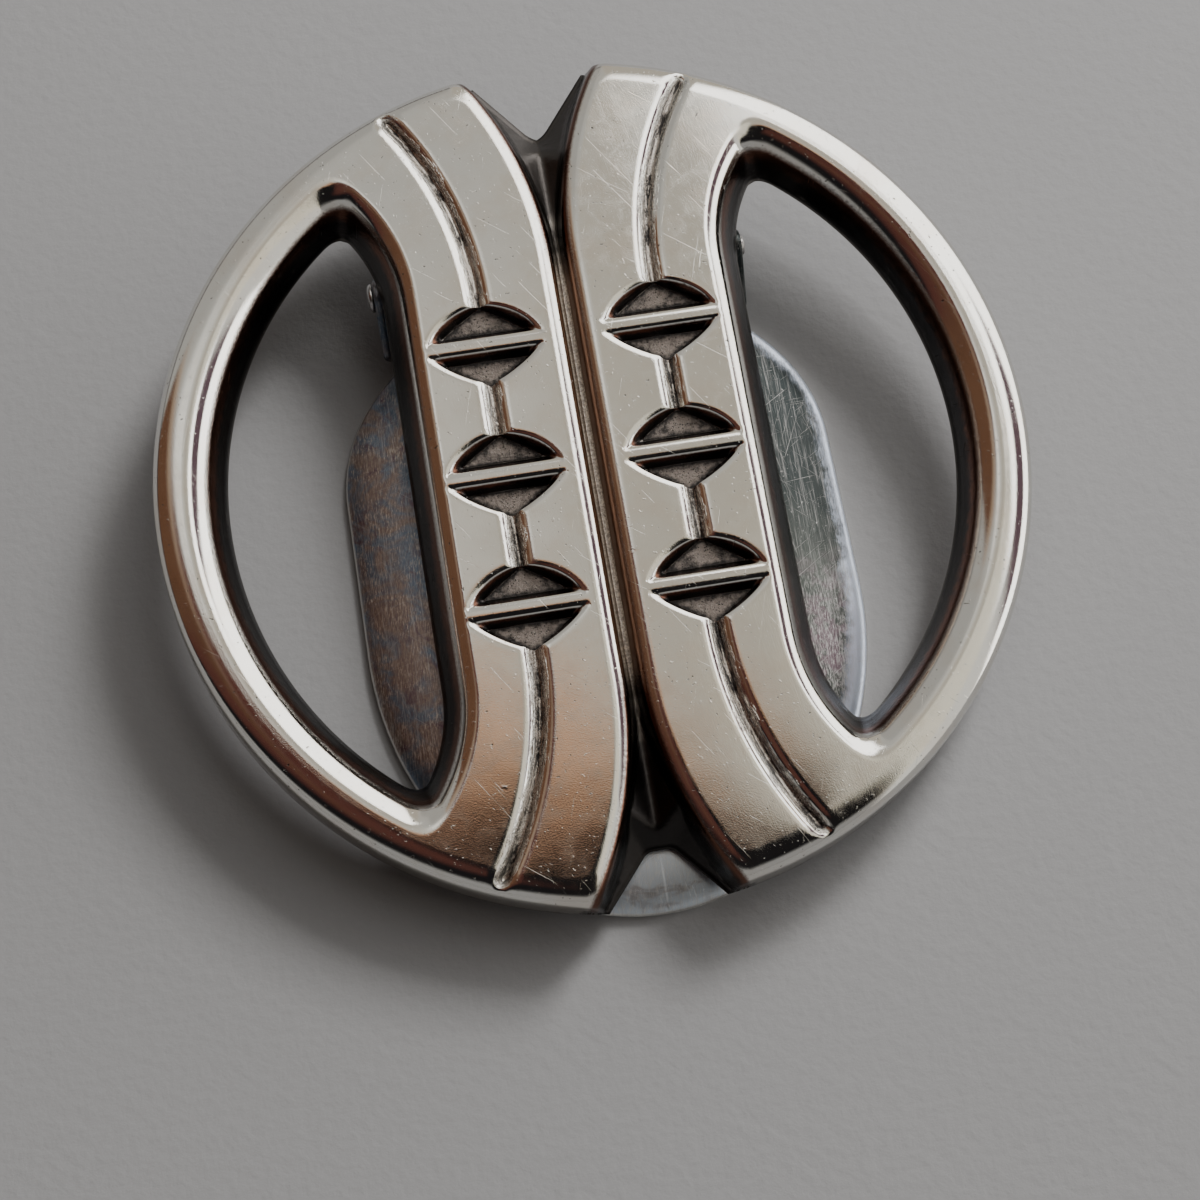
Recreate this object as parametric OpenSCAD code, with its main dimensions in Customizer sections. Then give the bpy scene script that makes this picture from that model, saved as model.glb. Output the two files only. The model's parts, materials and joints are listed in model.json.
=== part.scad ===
/* [Ornament] */
// Outside diameter of the ornament at its back edge
ornament_d = 50.2; // [49.8:0.1:51]
// Thickness of the casting from its back to its faces
ornament_t = 2.8; // [2.6:0.1:3.2]
// Inside diameter of the ring at the back edge
ring_in_d = 41.9; // [41:0.1:42.5]
// Angle at which the ornament leans on the clip plate
wedge = 4.5; // [4:0.1:5]

/* [Bands] */
// Distance from the middle line to the near edge of a band's flat face
band_near = 1.3; // [1.2:0.05:1.5]
// Distance from the middle line to the far edge of a band's flat face
band_far = 8.65; // [8.5:0.05:8.8]
// Radius of the sweep of a band's near edge towards its ends
near_sweep_r = 21; // [20:0.5:22]
// Radius of the sweep of a band's far edge towards its ends
far_sweep_r = 11; // [10.5:0.1:11.5]
// Height of the web that joins the two halves
web_t = 0.9; // [0.7:0.1:1.1]

/* [Engraving] */
// Distance from the middle line to the engraved line
line_x = 5.1; // [5:0.05:5.2]
// Spacing of the pairs of triangles along a band
pair_pitch = 7.75; // [7.6:0.05:7.9]
// Width of a triangle at its base
pit_w = 6.4; // [6:0.1:6.6]
// Height of a triangle from base to tip
pit_h = 2.05; // [1.8:0.05:2.2]
// Width of the bar left standing between a pair's bases
bar_w = 0.8; // [0.7:0.05:1]
// Depth of the triangles
pit_depth = 0.75; // [0.5:0.05:0.9]
// Width of the engraved line
line_w = 1.05; // [0.8:0.05:1.2]
// Depth of the engraved line
line_depth = 0.5; // [0.3:0.05:0.6]

/* [Clip plate] */
// Width of the oval plate
plate_w = 29; // [28:0.5:30]
// Thickness of its sheet metal
sheet_t = 0.5; // [0.4:0.05:0.6]
// Height of the crown of the plate above its rim
crown_h = 1.6; // [1.4:0.1:1.8]
// Distance between the outer faces of the two ears
ears_w = 22.1; // [22:0.1:22.3]

/* [Hinge] */
// Diameter of the hinge pin
pin_d = 1.2; // [1:0.05:1.3]
// Distance of the pin from the middle of the ornament towards its top
pin_up = 13.05; // [12.8:0.05:13.3]
// Distance of the pin behind the back of the casting
pin_drop = 1.1; // [1.05:0.05:1.2]

/* [Hidden] */
$fn = 96;

outer_r = ornament_d / 2;
ring_in_r = ring_in_d / 2;

// Each edge runs up from the back as a drafted wall and rolls over to the face.
// A row is [step in from the back edge, height as a share of the thickness].
edge_roll = [[0.52, 0.80], [0.60, 0.89], [0.74, 0.96], [1, 1]];
outer_run = 1.35;
outer_draft = 0.25;
ring_run = 1.95;
ring_draft = 1.1;
far_run = 1.88;
far_draft = 0.9;
near_run = 1.15;
near_draft = 0.75;

// Centres of the sweeps of the bands' edges and of the engraved line
near_sweep_y = 12.5;
far_sweep_y = 11.3;
line_sweep_y = 10.5;
line_sweep_r = 21;
line_sweep_angle = 34.5;

// Notch between the ends of the bands, at the back
notch_y = 21.9;
notch_half = 0.7;
notch_mouth = 3.3;
web_bevel = 1.1;
notch_rise = 1.5;
web_reach = 4.5;

// Small shapes of the engraving: draft of a triangle's walls, half width of its tip at the floor and at the
// face, how far its cutter reaches above the face, and how far the line runs into a tip
pit_wall = 0.28;
pit_tip = [0.25, 0.4];
pit_lip = 0.2;
line_overlap = 0.2;

// Oval of the plate: a long lower end, straight sides and a short upper end
plate_half = plate_w / 2;
lower_y = -7.9;
lower_len = 17.24;
upper_y = 1.5;
upper_len = 11.7;
oval_steps = 14;
neck_y = 9.6;
tongue_root_y = 5;
tongue_root_half = 7.4;
tongue_end_y = 18.5;
tongue_end_half = 6.5;
tongue_shoulder = [1, 1.2];
ear_foot_y = [9.9, 15.2];
ear_r = 0.95;

// Rows of the plate's section, from the rim to the crown.
// A row is [inset, height of the top side, height of the under side].
rim_rows = [[0, 0.3, 0.3], [0.35, 0.78, 0], [1.2, 1.2, 0.62], [2.6, 1.5, 0.97], [4.5, 1.6, 1.1]];
burr = 0.05;

// Fits of the hinge, shapes of its lugs, ears and pin, and the place where the ornament rests on the plate
lug_clearance = 0.02;
ear_clearance = 0.06;
side_gap = 0.2;
head_gap = 0.05;
lug_r = 1.02;
lug_w = 1.7;
lug_root = 0.3;
ear_shoulder = 35;
ear_fold = 0.3;
head_d = 1.7;
head_t = 0.4;
pin_tail = 0.25;
seat_y = -22;
seat_gap = 0.3;
seat_fall = 0.05;

// Lift of the ornament's middle, and place of the pin, worked out from the wedge
seat_z = crown_h - seat_fall + seat_gap;
lift = seat_z - seat_y * sin(wedge);
pin_y = pin_up * cos(wedge) + pin_drop * sin(wedge);
pin_z = lift + pin_up * sin(wedge) - pin_drop * cos(wedge);
notch_corner_y = sqrt(outer_r * outer_r - notch_mouth * notch_mouth);
tip_y = lower_y - lower_len;
frame_shift = -(notch_corner_y * cos(wedge) + tip_y) / 2;

far_centre = band_far + far_sweep_r;
near_centre = band_near + near_sweep_r;
eps = 0.01;

// Half section of an edge: reach at height z = 0 first, then up the wall and over the roll.
// way is 1 where the solid grows narrower upwards, and -1 for a hole that grows wider.
function edge_points(r_back, run, draft, way) = concat(
    [[r_back, 0]],
    [for (p = edge_roll) [
        r_back - way * (draft + (run - draft) * (p[0] - edge_roll[0][0]) / (1 - edge_roll[0][0])),
        ornament_t * p[1]]]);

// A round solid with one edge section, from z = 0 to the faces
module round_solid(r_back, run, draft) {
    rotate_extrude() polygon(concat([[0, 0]], edge_points(r_back, run, draft, 1), [[0, ornament_t]]));
}

// A long solid with the same section on its two long sides and round ends
module long_solid(r_back, run, draft, half_len) {
    section = edge_points(r_back, run, draft, 1);
    for (s = [-1, 1]) translate([0, s * half_len, 0]) round_solid(r_back, run, draft);
    translate([0, half_len, 0]) rotate([90, 0, 0]) linear_extrude(height = 2 * half_len)
        polygon(concat(section, [for (i = [len(section) - 1:-1:0]) [-section[i][0], section[i][1]]]));
}

// The cutters for a hole reach past the back and past the faces.
function hole_points(r_back, run, draft) = concat(
    [[0, -1], [r_back, -1]],
    edge_points(r_back, run, draft, -1),
    [[r_back + run, ornament_t + 1], [0, ornament_t + 1]]);

module round_hole(r_back, run, draft) {
    rotate_extrude() polygon(hole_points(r_back, run, draft));
}

module long_hole(r_back, run, draft, half_len) {
    section = hole_points(r_back, run, draft);
    for (s = [-1, 1]) translate([0, s * half_len, 0]) round_hole(r_back, run, draft);
    translate([0, half_len, 0]) rotate([90, 0, 0]) linear_extrude(height = 2 * half_len)
        polygon(concat(section, [for (i = [len(section) - 1:-1:0]) [-section[i][0], section[i][1]]]));
}

// A solid between two outlines of equal count, the lower one first
module loft(lower, upper, z0, z1) {
    n = len(lower);
    polyhedron(
        points = concat([for (p = lower) [p[0], p[1], z0]], [for (p = upper) [p[0], p[1], z1]]),
        faces = concat(
            [[for (i = [0:n - 1]) i]],
            [[for (i = [n - 1:-1:0]) n + i]],
            [for (i = [0:n - 1]) [i, n + i, n + (i + 1) % n, (i + 1) % n]]));
}

// The opening of one half, between its ring arc and its band
module d_opening() {
    intersection() {
        round_hole(ring_in_r, ring_run, ring_draft);
        translate([far_centre, 0, 0])
            long_hole(far_sweep_r - far_run, far_run, far_draft, far_sweep_y);
    }
}

// One triangle, with its base on the bar and its tip on the line. way is 1 or -1 for the side of the bar.
module pit(way) {
    half = pit_w / 2;
    base = bar_w / 2;
    tip = base + pit_h;
    grow = pit_lip * pit_wall / pit_depth;
    floor_half = half - 2 * pit_wall;
    floor_outline = [[-floor_half, base + pit_wall / 2], [floor_half, base + pit_wall / 2],
        [pit_tip[0], tip - pit_wall], [-pit_tip[0], tip - pit_wall]];
    top_outline = [[-half - grow, base - grow / 2], [half + grow, base - grow / 2],
        [pit_tip[1], tip + grow], [-pit_tip[1], tip + grow]];
    rotate([0, 0, way > 0 ? 0 : 180])
        loft(floor_outline, top_outline, ornament_t - pit_depth, ornament_t + pit_lip);
}

// Section of the engraved line, with its middle on x = 0
module line_section() {
    polygon([[-line_w / 2, ornament_t + eps], [-line_w / 5, ornament_t - line_depth],
        [line_w / 5, ornament_t - line_depth], [line_w / 2, ornament_t + eps]]);
}

module straight_line(y_from, y_to) {
    translate([line_x, y_to, 0]) rotate([90, 0, 0]) linear_extrude(height = y_to - y_from)
        line_section();
}

// Engraving of one band: three pairs of triangles on a line that sweeps out to both ends
module engraving() {
    reach = bar_w / 2 + pit_h - line_overlap;
    for (k = [-1:1], way = [-1, 1]) translate([line_x, k * pair_pitch, 0]) pit(way);
    for (m = [0, 1]) mirror([0, m, 0]) {
        straight_line(reach, pair_pitch - reach);
        straight_line(pair_pitch + reach, line_sweep_y);
        translate([line_x + line_sweep_r, line_sweep_y, 0]) mirror([1, 0, 0])
            rotate_extrude(angle = line_sweep_angle) translate([line_sweep_r, 0]) line_section();
    }
}

// The right half: ring arc and band, with its opening and its engraving
module half_casting() {
    difference() {
        intersection() {
            round_solid(outer_r, outer_run, outer_draft);
            translate([near_centre, 0, 0])
                long_solid(near_sweep_r + near_run, near_run, near_draft, near_sweep_y);
        }
        d_opening();
        engraving();
    }
}

// The space between the ends of the bands, with walls that flare upwards through the web
module notch() {
    mouth_y = outer_r + 1;
    spread = (notch_mouth - notch_half) / (notch_corner_y - notch_y);
    half_at_mouth = notch_half + (mouth_y - notch_y) * spread;
    flare = web_bevel * notch_rise / web_t;
    top_half = notch_half + flare / 3;
    top_mouth = half_at_mouth + 1.3 * flare;
    low = [[-notch_half, notch_y], [notch_half, notch_y],
        [half_at_mouth, mouth_y], [-half_at_mouth, mouth_y]];
    high = [[-top_half, notch_y - flare], [top_half, notch_y - flare],
        [top_mouth, mouth_y], [-top_mouth, mouth_y]];
    loft(low, high, -eps, notch_rise);
}

// The lower web between the halves, with a notch at each end
module web() {
    difference() {
        intersection() {
            round_solid(outer_r, outer_run, outer_draft);
            translate([-web_reach, -outer_r, 0]) cube([2 * web_reach, 2 * outer_r, web_t]);
        }
        notch();
        rotate([0, 0, 180]) notch();
    }
}

// One hinge lug on the back of the casting, without its bore
module lug() {
    rotate([0, 90, 0]) cylinder(r = lug_r, h = lug_w);
    translate([0, -lug_r, 0]) cube([lug_w, 2 * lug_r, pin_drop + lug_root]);
}

// Puts what is drawn on the ornament's own plane where the ornament leans
module leaning() {
    translate([0, frame_shift, lift]) rotate([wedge, 0, 0]) children();
}

module ornament() {
    lug_x = ears_w / 2 - sheet_t - side_gap - lug_w;
    color([0.76, 0.74, 0.70]) leaning() difference() {
        union() {
            half_casting();
            mirror([1, 0, 0]) half_casting();
            web();
            for (x = [lug_x, -lug_x - lug_w]) translate([x, pin_up, -pin_drop]) lug();
        }
        translate([-outer_r, pin_up, -pin_drop]) rotate([0, 90, 0])
            cylinder(d = pin_d + 2 * lug_clearance, h = 2 * outer_r);
    }
}

module hinge_pin() {
    shaft_from = -ears_w / 2 - head_gap;
    color([0.62, 0.61, 0.60]) leaning() translate([0, pin_up, -pin_drop]) rotate([0, 90, 0]) {
        translate([0, 0, shaft_from]) cylinder(d = pin_d, h = ears_w + head_gap + pin_tail);
        translate([0, 0, shaft_from - head_t]) cylinder(d = head_d, h = head_t);
    }
}

// One point of the oval at an inset from its rim: angle from the right-hand side, way is 1 or -1 for the side
function oval_point(inset, angle, way) = [
    way * (plate_half - inset) * cos(angle),
    angle < 0 ? lower_y + sin(angle) * (lower_len - inset) : upper_y + sin(angle) * (upper_len - inset)];

// Outline of the oval, from its tip up the right side and down the left
function oval(inset) = concat(
    [for (i = [-oval_steps:oval_steps]) oval_point(inset, 90 * i / oval_steps, 1)],
    [for (i = [oval_steps - 1:-1:1 - oval_steps]) oval_point(inset, 90 * i / oval_steps, -1)]);

// The oval dish as one closed skin: its top side from the rim to the crown, and its under side back
module dish() {
    n = 4 * oval_steps;
    rows = len(rim_rows);
    rings = concat(
        [for (r = rim_rows) [r[0], r[1]]],
        [for (i = [rows - 1:-1:2]) [rim_rows[i][0], rim_rows[i][2]]],
        [[rim_rows[1][0] + burr, rim_rows[1][2]]]);
    m = len(rings);
    points = [for (r = rings) for (p = oval(r[0])) [p[0], p[1], r[1]]];
    skin = [for (k = [0:m - 1], i = [0:n - 1]) if (k != rows - 1)
        [k * n + i, ((k + 1) % m) * n + i, ((k + 1) % m) * n + (i + 1) % n, k * n + (i + 1) % n]];
    top_cap = [for (i = [n - 1:-1:0]) (rows - 1) * n + i];
    under_cap = [for (i = [0:n - 1]) rows * n + i];
    polyhedron(points = points, faces = concat(skin, [top_cap], [under_cap]), convexity = 4);
}

// Flat end of the sheet behind the oval, with the feet of the ears
module tongue() {
    foot_half = ears_w / 2 - sheet_t + eps;
    shoulder_half = tongue_end_half + tongue_shoulder[0];
    shoulder_y = ear_foot_y[1] + tongue_shoulder[1];
    right_side = [[tongue_root_half, tongue_root_y], [tongue_root_half, ear_foot_y[0]],
        [foot_half, ear_foot_y[0]], [foot_half, ear_foot_y[1]],
        [shoulder_half, shoulder_y], [tongue_end_half, tongue_end_y]];
    left_side = [for (i = [len(right_side) - 1:-1:0]) [-right_side[i][0], right_side[i][1]]];
    translate([0, 0, crown_h - sheet_t]) linear_extrude(height = sheet_t)
        polygon(concat(right_side, left_side));
}

// One ear, bent up from the sheet, as wide at its foot as the fold
module ear() {
    side = ear_r * cos(ear_shoulder);
    shoulder_z = pin_z + ear_r * sin(ear_shoulder);
    rotate([90, 0, 90]) linear_extrude(height = sheet_t) union() {
        translate([pin_y, pin_z]) circle(r = ear_r);
        polygon([[ear_foot_y[0], crown_h - sheet_t], [ear_foot_y[1], crown_h - sheet_t],
            [ear_foot_y[1], crown_h + ear_fold], [pin_y + side, shoulder_z],
            [pin_y - side, shoulder_z], [ear_foot_y[0], crown_h + ear_fold]]);
    }
}

module clip_plate() {
    color([0.48, 0.46, 0.44]) translate([0, frame_shift, 0]) difference() {
        union() {
            intersection() {
                dish();
                translate([-plate_w, -2 * plate_w, -1]) cube([2 * plate_w, 2 * plate_w + neck_y, 4]);
            }
            tongue();
            for (x = [ears_w / 2 - sheet_t, -ears_w / 2]) translate([x, 0, 0]) ear();
        }
        translate([-plate_w, pin_y, pin_z]) rotate([0, 90, 0])
            cylinder(d = pin_d + 2 * ear_clearance, h = 2 * plate_w);
    }
}

ornament();
hinge_pin();
clip_plate();
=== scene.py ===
"""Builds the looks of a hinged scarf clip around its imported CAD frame."""

import json
import math
from types import SimpleNamespace

import bpy
import numpy as np
from bpy.props import FloatProperty, FloatVectorProperty, IntProperty, PointerProperty
from mathutils import Matrix, Vector
from mathutils.geometry import delaunay_2d_cdt


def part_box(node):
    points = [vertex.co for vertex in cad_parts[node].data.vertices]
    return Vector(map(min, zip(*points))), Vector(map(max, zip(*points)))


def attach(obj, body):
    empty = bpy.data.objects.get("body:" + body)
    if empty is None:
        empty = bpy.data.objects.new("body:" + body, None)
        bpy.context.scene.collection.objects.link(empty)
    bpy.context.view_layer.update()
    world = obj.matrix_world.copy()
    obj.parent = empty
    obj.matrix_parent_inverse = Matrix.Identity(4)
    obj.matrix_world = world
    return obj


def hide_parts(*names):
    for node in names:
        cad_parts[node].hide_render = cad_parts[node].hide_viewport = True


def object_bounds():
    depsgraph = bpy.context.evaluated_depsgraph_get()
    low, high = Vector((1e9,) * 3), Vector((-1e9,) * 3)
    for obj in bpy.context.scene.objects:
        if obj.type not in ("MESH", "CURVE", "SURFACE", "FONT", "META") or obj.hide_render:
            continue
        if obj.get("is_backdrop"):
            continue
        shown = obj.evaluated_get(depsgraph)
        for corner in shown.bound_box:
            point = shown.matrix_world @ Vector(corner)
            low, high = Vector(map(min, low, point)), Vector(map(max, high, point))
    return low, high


bl_info = {
    "name": "Scarf clip",
    "version": (1, 0, 0),
    "blender": (4, 5, 0),
    "location": "3D View > Sidebar > Scarf clip",
    "description": "Builds a plated, engraved scarf clip with a sprung clip plate, and a stage for it",
    "category": "Object",
}

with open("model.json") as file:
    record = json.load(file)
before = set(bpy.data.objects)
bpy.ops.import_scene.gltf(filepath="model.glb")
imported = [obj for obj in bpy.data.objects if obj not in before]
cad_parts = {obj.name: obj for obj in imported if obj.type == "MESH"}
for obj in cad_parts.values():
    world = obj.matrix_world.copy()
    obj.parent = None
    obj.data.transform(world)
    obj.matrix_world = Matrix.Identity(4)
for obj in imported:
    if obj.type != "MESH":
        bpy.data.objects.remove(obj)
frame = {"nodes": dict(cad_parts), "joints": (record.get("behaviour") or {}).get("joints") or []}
CAD_LOW, CAD_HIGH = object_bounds()
MM = 0.001


# Sizes and colours that a user would change


def size(name, millimetres, description):
    """A length property whose default is given in millimetres."""
    return FloatProperty(
        name=name, description=description, default=millimetres * MM, min=0, unit="LENGTH", precision=5
    )


def tint(name, rgb, description):
    """A colour property."""
    return FloatVectorProperty(
        name=name, description=description, default=rgb, min=0, max=1, size=3, subtype="COLOR"
    )


def number(name, value, description):
    """A plain number property."""
    return FloatProperty(name=name, description=description, default=value, min=0)


class CastingSizes(bpy.types.PropertyGroup):
    """Sizes of the ornament, in its own plane."""

    thickness: size("Thickness", 2.8, "From the flat back to the faces")
    outer_radius: size("Outer radius", 25.099, "Of the ornament at its back edge")
    outer_wall: size("Outer wall", 0.19, "How far the outer wall leans in")
    outer_run: size("Outer run", 1.72, "From the back edge to the start of the face, at the outside")
    outer_shoulder: number("Outer shoulder", 0.6, "Share of the thickness where the outer roll starts")
    ring_radius: size("Ring radius", 20.95, "Inside radius of the ring at the back edge")
    ring_wall: size("Ring wall", 0.45, "How far the ring's inner wall leans")
    ring_run: size("Ring run", 2.2, "From the back edge to the face, inside the ring")
    ring_shoulder: number("Ring shoulder", 0.45, "Share of the thickness where the ring's inner roll starts")
    band_near: size("Band's near edge", 1.38, "From the middle line to the near edge of a band's face")
    near_wall: size("Near wall", 0.5, "How far the wall beside the groove leans")
    near_run: size("Near run", 1.53, "From the back edge to the face, beside the groove")
    near_shoulder: number("Near shoulder", 0.74, "Share of the thickness where its roll starts")
    near_sweep: size("Near sweep", 21.0, "Radius in which the near edges part towards the ends")
    near_turn: size("Near turn", 12.5, "Distance from the middle where the near edges start to part")
    band_far: size("Band's far edge", 8.4, "From the middle line to the far edge of a band's face")
    far_wall: size("Far wall", 0.93, "How far the wall beside an opening leans")
    far_run: size("Far run", 2.13, "From the back edge to the face, beside an opening")
    far_shoulder: number("Far shoulder", 0.65, "Share of the thickness where its roll starts")
    far_sweep: size("Far sweep", 11.0, "Radius in which the far edges sweep out towards the ends")
    far_turn: size("Far turn", 11.3, "Distance from the middle where the far edges start to sweep")
    web_height: size("Web height", 0.9, "Height of the web that joins the halves, over the back")
    groove_rise: size("Groove rise", 0.45, "How much higher the web stands in the middle groove")
    notch_below: size("Lower notch", 21.9, "Distance from the middle to the bottom of the lower notch")
    notch_above: size("Upper notch", 20.85, "Distance from the middle to the bottom of the upper notch")
    floor_below: size("Lower notch floor", 0.7, "Half width of the lower notch at its bottom")
    floor_above: size("Upper notch floor", 0.1, "Half width of the upper notch at its bottom")
    notch_mouth: size("Notch mouth", 3.3, "Half width of a notch at the outline")
    notch_bevel: size("Notch bevel", 1.1, "Width of the slope from the web down to a notch")
    valley: number("Valley", 0.8, "Slope of the web up to the bands towards its ends")


class EngravingSizes(bpy.types.PropertyGroup):
    """Sizes of the engraving on the bands."""

    line_x: size("Line", 5.1, "From the middle line to the engraved line")
    line_half: size("Line's half width", 0.56, "Half width of the engraved line at the face")
    line_depth: size("Line depth", 0.5, "Depth of the engraved line")
    line_turn: size("Line turn", 10.5, "Distance from the middle where the line starts to sweep out")
    line_sweep: size("Line sweep", 21.0, "Radius of the line's sweep")
    pitch: size("Pitch", 7.75, "Spacing of the pairs of triangles")
    bar: size("Bar", 0.8, "Width of the bar between a pair's bases")
    pit_width: size("Triangle width", 6.4, "Width of a triangle at its base")
    pit_height: size("Triangle height", 2.05, "From a triangle's base to its tip")
    bulge_above: size("Bulge above", 0.5, "How far a triangle's sides bow outwards above a bar")
    bulge_below: size("Bulge below", 0.2, "How far a triangle's sides bow outwards below a bar")
    pit_wall: size("Triangle wall", 0.44, "Width of the wall at a triangle's base")
    pit_depth: size("Triangle depth", 0.75, "Depth of a triangle's floor")
    lip: size("Lip", 0.4, "Width of the soft lip that polishing has left round the engraving")
    lip_depth: size("Lip depth", 0.07, "How far the soft lip dips")
    grain: size("Grain", 0.11, "Size of the largest lumps on the rough floors")
    grains_per_mm2: number("Grains", 26, "Lumps on each square millimetre of rough floor")
    seed: IntProperty(name="Seed", description="Changes where the lumps lie", default=7)


class PlateSizes(bpy.types.PropertyGroup):
    """Sizes of the sprung clip plate."""

    half_width: size("Half width", 14.5, "Half width of the oval")
    lower_start: size("Lower start", -7.9, "Where the straight sides meet the lower curve")
    lower_length: size("Lower length", 17.239, "Length of the lower curve")
    upper_start: size("Upper start", 1.5, "Where the straight sides meet the upper curve")
    upper_length: size("Upper length", 11.7, "Length of the upper curve")
    sheet: size("Sheet", 0.5, "Thickness of the sheet")
    crown: size("Crown", 1.6, "Height of the crown's top side")
    roll: size("Roll", 4.5, "Width over which the rim curls down")
    rim: size("Rim", 0.3, "Radius of the curled rim")
    neck: size("Neck", 9.6, "Where the oval ends and the ears begin")
    tongue_end: size("Tongue end", 18.5, "End of the flat tongue behind the ears")
    tongue_half: size("Tongue half width", 6.5, "Half width of the tongue's end")
    ears: size("Ears", 11.05, "From the middle to the outer face of an ear")
    ear_foot: size("Ear foot", 9.9, "Where an ear's foot begins")
    ear_width: size("Ear width", 5.3, "Width of an ear's foot")
    ear_radius: size("Ear radius", 0.95, "Radius of the top of an ear")
    fold: size("Fold", 0.25, "Inner radius of the fold at an ear's foot")
    bore_gap: size("Bore gap", 0.06, "Clearance of the pin in the ears")


class PinSizes(bpy.types.PropertyGroup):
    """Sizes of the hinge pin."""

    shaft_radius: size("Shaft radius", 0.6, "Radius of the pin")
    head_radius: size("Head radius", 0.85, "Radius of the domed head")
    head_length: size("Head length", 0.4, "Length of the domed head")
    sides: IntProperty(name="Sides", description="Sides of the pin's round section", default=40)


class Finishes(bpy.types.PropertyGroup):
    """Colours of the metals."""

    plating: tint("Plating", (0.80, 0.785, 0.74), "Polished plating of the casting")
    plating_warm: tint("Worn plating", (0.74, 0.66, 0.57), "Where the plating has worn thin")
    # Shared by real oxide and painted shade: it is oxide on the engraved floors, the line and the lumps, and
    # painted shade and dark reflection on the inner walls.
    oxide_and_shade: tint("Oxide", (0.035, 0.032, 0.031), "Dark foot of the inner walls and of the engraving")
    oxide_light: tint("Rubbed oxide", (0.36, 0.31, 0.275), "Where the dark floors have been rubbed")
    # Painted reflection: brown on the upper part of the inner walls, for the brown surroundings on the left
    # that they mirror.
    wall_brown: tint("Brown oxide", (0.13, 0.062, 0.042), "Upper part of the dark walls")
    # Painted reflection: light brown on the groove's wall that faces left, for the brown surroundings on the
    # left that it mirrors.
    painted_groove_reflection: tint("Light brown oxide", (0.19, 0.105, 0.07), "Wall of the groove that faces left")
    # Also the colour of the painted highlight along the foot of the walls.
    line: tint("Line", (0.50, 0.46, 0.415), "Rubbed streaks in the engraved line and the groove")
    # Painted reflection: the web is painted near black, for the dark front that its polished slopes mirror.
    web: tint("Web", (0.085, 0.078, 0.074), "Stained metal between the ends of the bands")
    steel: tint("Steel", (0.50, 0.49, 0.48), "Bare steel of the clip plate")
    tarnish_blue: tint("Blue tarnish", (0.145, 0.20, 0.27), "Blue tarnish on the clip plate")
    tarnish_brown: tint("Brown tarnish", (0.26, 0.20, 0.175), "Brown tarnish on the clip plate")
    tarnish_plum: tint("Plum tarnish", (0.15, 0.095, 0.12), "Purple tarnish on the clip plate")
    tarnish_light: tint("Light tarnish", (0.60, 0.53, 0.46), "Rubbed streaks in the brown tarnish")
    green: tint("Green", (0.075, 0.082, 0.074), "Dull right side of the clip plate")
    green_dark: tint("Dark green", (0.030, 0.038, 0.036), "Darker patches on the right side")
    green_deep: tint("Deep green", (0.022, 0.028, 0.030), "Upper end of the right side")
    rim_blue: tint("Blue rim", (0.62, 0.68, 0.80), "Rubbed stretch along the plate's right rim")
    # Painted reflection: a bright bluish band along the plate's right rim, for the window mirrored where the
    # rim curls down.
    tip_wear_and_sheen: tint("Grey tip", (0.62, 0.68, 0.74), "Rubbed tip of the clip plate")
    # Partly painted reflection: the tip is painted light bluish grey for the light it would mirror, on top
    # of its rubbed wear.
    pin_steel: tint("Pin steel", (0.56, 0.55, 0.54), "Steel of the hinge pin")


class StageLook(bpy.types.PropertyGroup):
    """Floor, light and camera."""

    floor: tint("Floor", (0.46, 0.46, 0.47), "Plain pale floor")
    room: tint("Room", (0.86, 0.84, 0.79), "Soft light from overhead on the left")
    room_right: tint("Room on the right", (0.53, 0.49, 0.42), "Soft light from overhead on the right")
    side: tint("Brown side", (0.17, 0.085, 0.05), "What the left side of the metal reflects")
    red: tint("Red side", (0.12, 0.045, 0.035), "What the lower left of the metal reflects")
    dark: tint("Dark side", (0.012, 0.011, 0.012), "What the front of the metal reflects")
    tan: tint("Tan side", (0.42, 0.315, 0.235), "Between the overhead light and the brown side")
    warm: tint("Warm side", (0.68, 0.42, 0.27), "Warm tone between the dark and the overhead light")
    ember: tint("Ember", (0.50, 0.25, 0.13), "Orange tone just above the dark")
    cream: tint("Cream side", (0.946, 0.8904, 0.7505), "What the right side of the ring reflects")
    corner: tint("Dark corner", (0.05, 0.045, 0.045), "Low down on the left")
    far: tint("Far front", (0.30, 0.295, 0.29), "Grey behind the dark front, for views from behind")
    bar: tint("Bar", (0.13, 0.08, 0.10), "Dark bar across the window")
    backdrop: tint("Backdrop", (0.62, 0.62, 0.63), "Plain wall behind the floor")
    window_tint: tint("Window tint", (1.0, 0.985, 0.955), "Colour of the window")
    lamp_tint: tint("Lamp tint", (1.0, 0.985, 0.96), "Colour of the soft lamp")
    window: number("Window", 3.2, "Strength of the bright window on the right")
    fill: number("Fill", 0.33, "Share of the surroundings' light that reaches matt surfaces")
    lamp: number("Lamp", 0.95, "Strength of the soft lamp, in watts at this scale")


def own_properties(group):
    """The properties that a group declares itself."""
    return [prop for prop in group.bl_rna.properties if prop.identifier not in ("rna_type", "name")]


def millimetres(group):
    """The lengths of a property group in millimetres, and its other values as they are."""
    values = {}
    for prop in own_properties(group):
        value = getattr(group, prop.identifier)
        values[prop.identifier] = value / MM if getattr(prop, "unit", "") == "LENGTH" else value
    return SimpleNamespace(**values)


# Places taken from the frame


def back_plane():
    """Lean of the casting about X, and the height of its flat back under the ornament's middle."""
    mesh = frame["nodes"]["ornament"].data
    back = max(mesh.polygons, key=lambda face: -face.normal.z * face.area)
    lean = math.atan2(back.normal.y, -back.normal.z)
    low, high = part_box("ornament")
    middle_y = (low.y + high.y) / 2
    rise = back.center.z + (middle_y - back.center.y) * math.tan(lean)
    return lean, middle_y, rise


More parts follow.
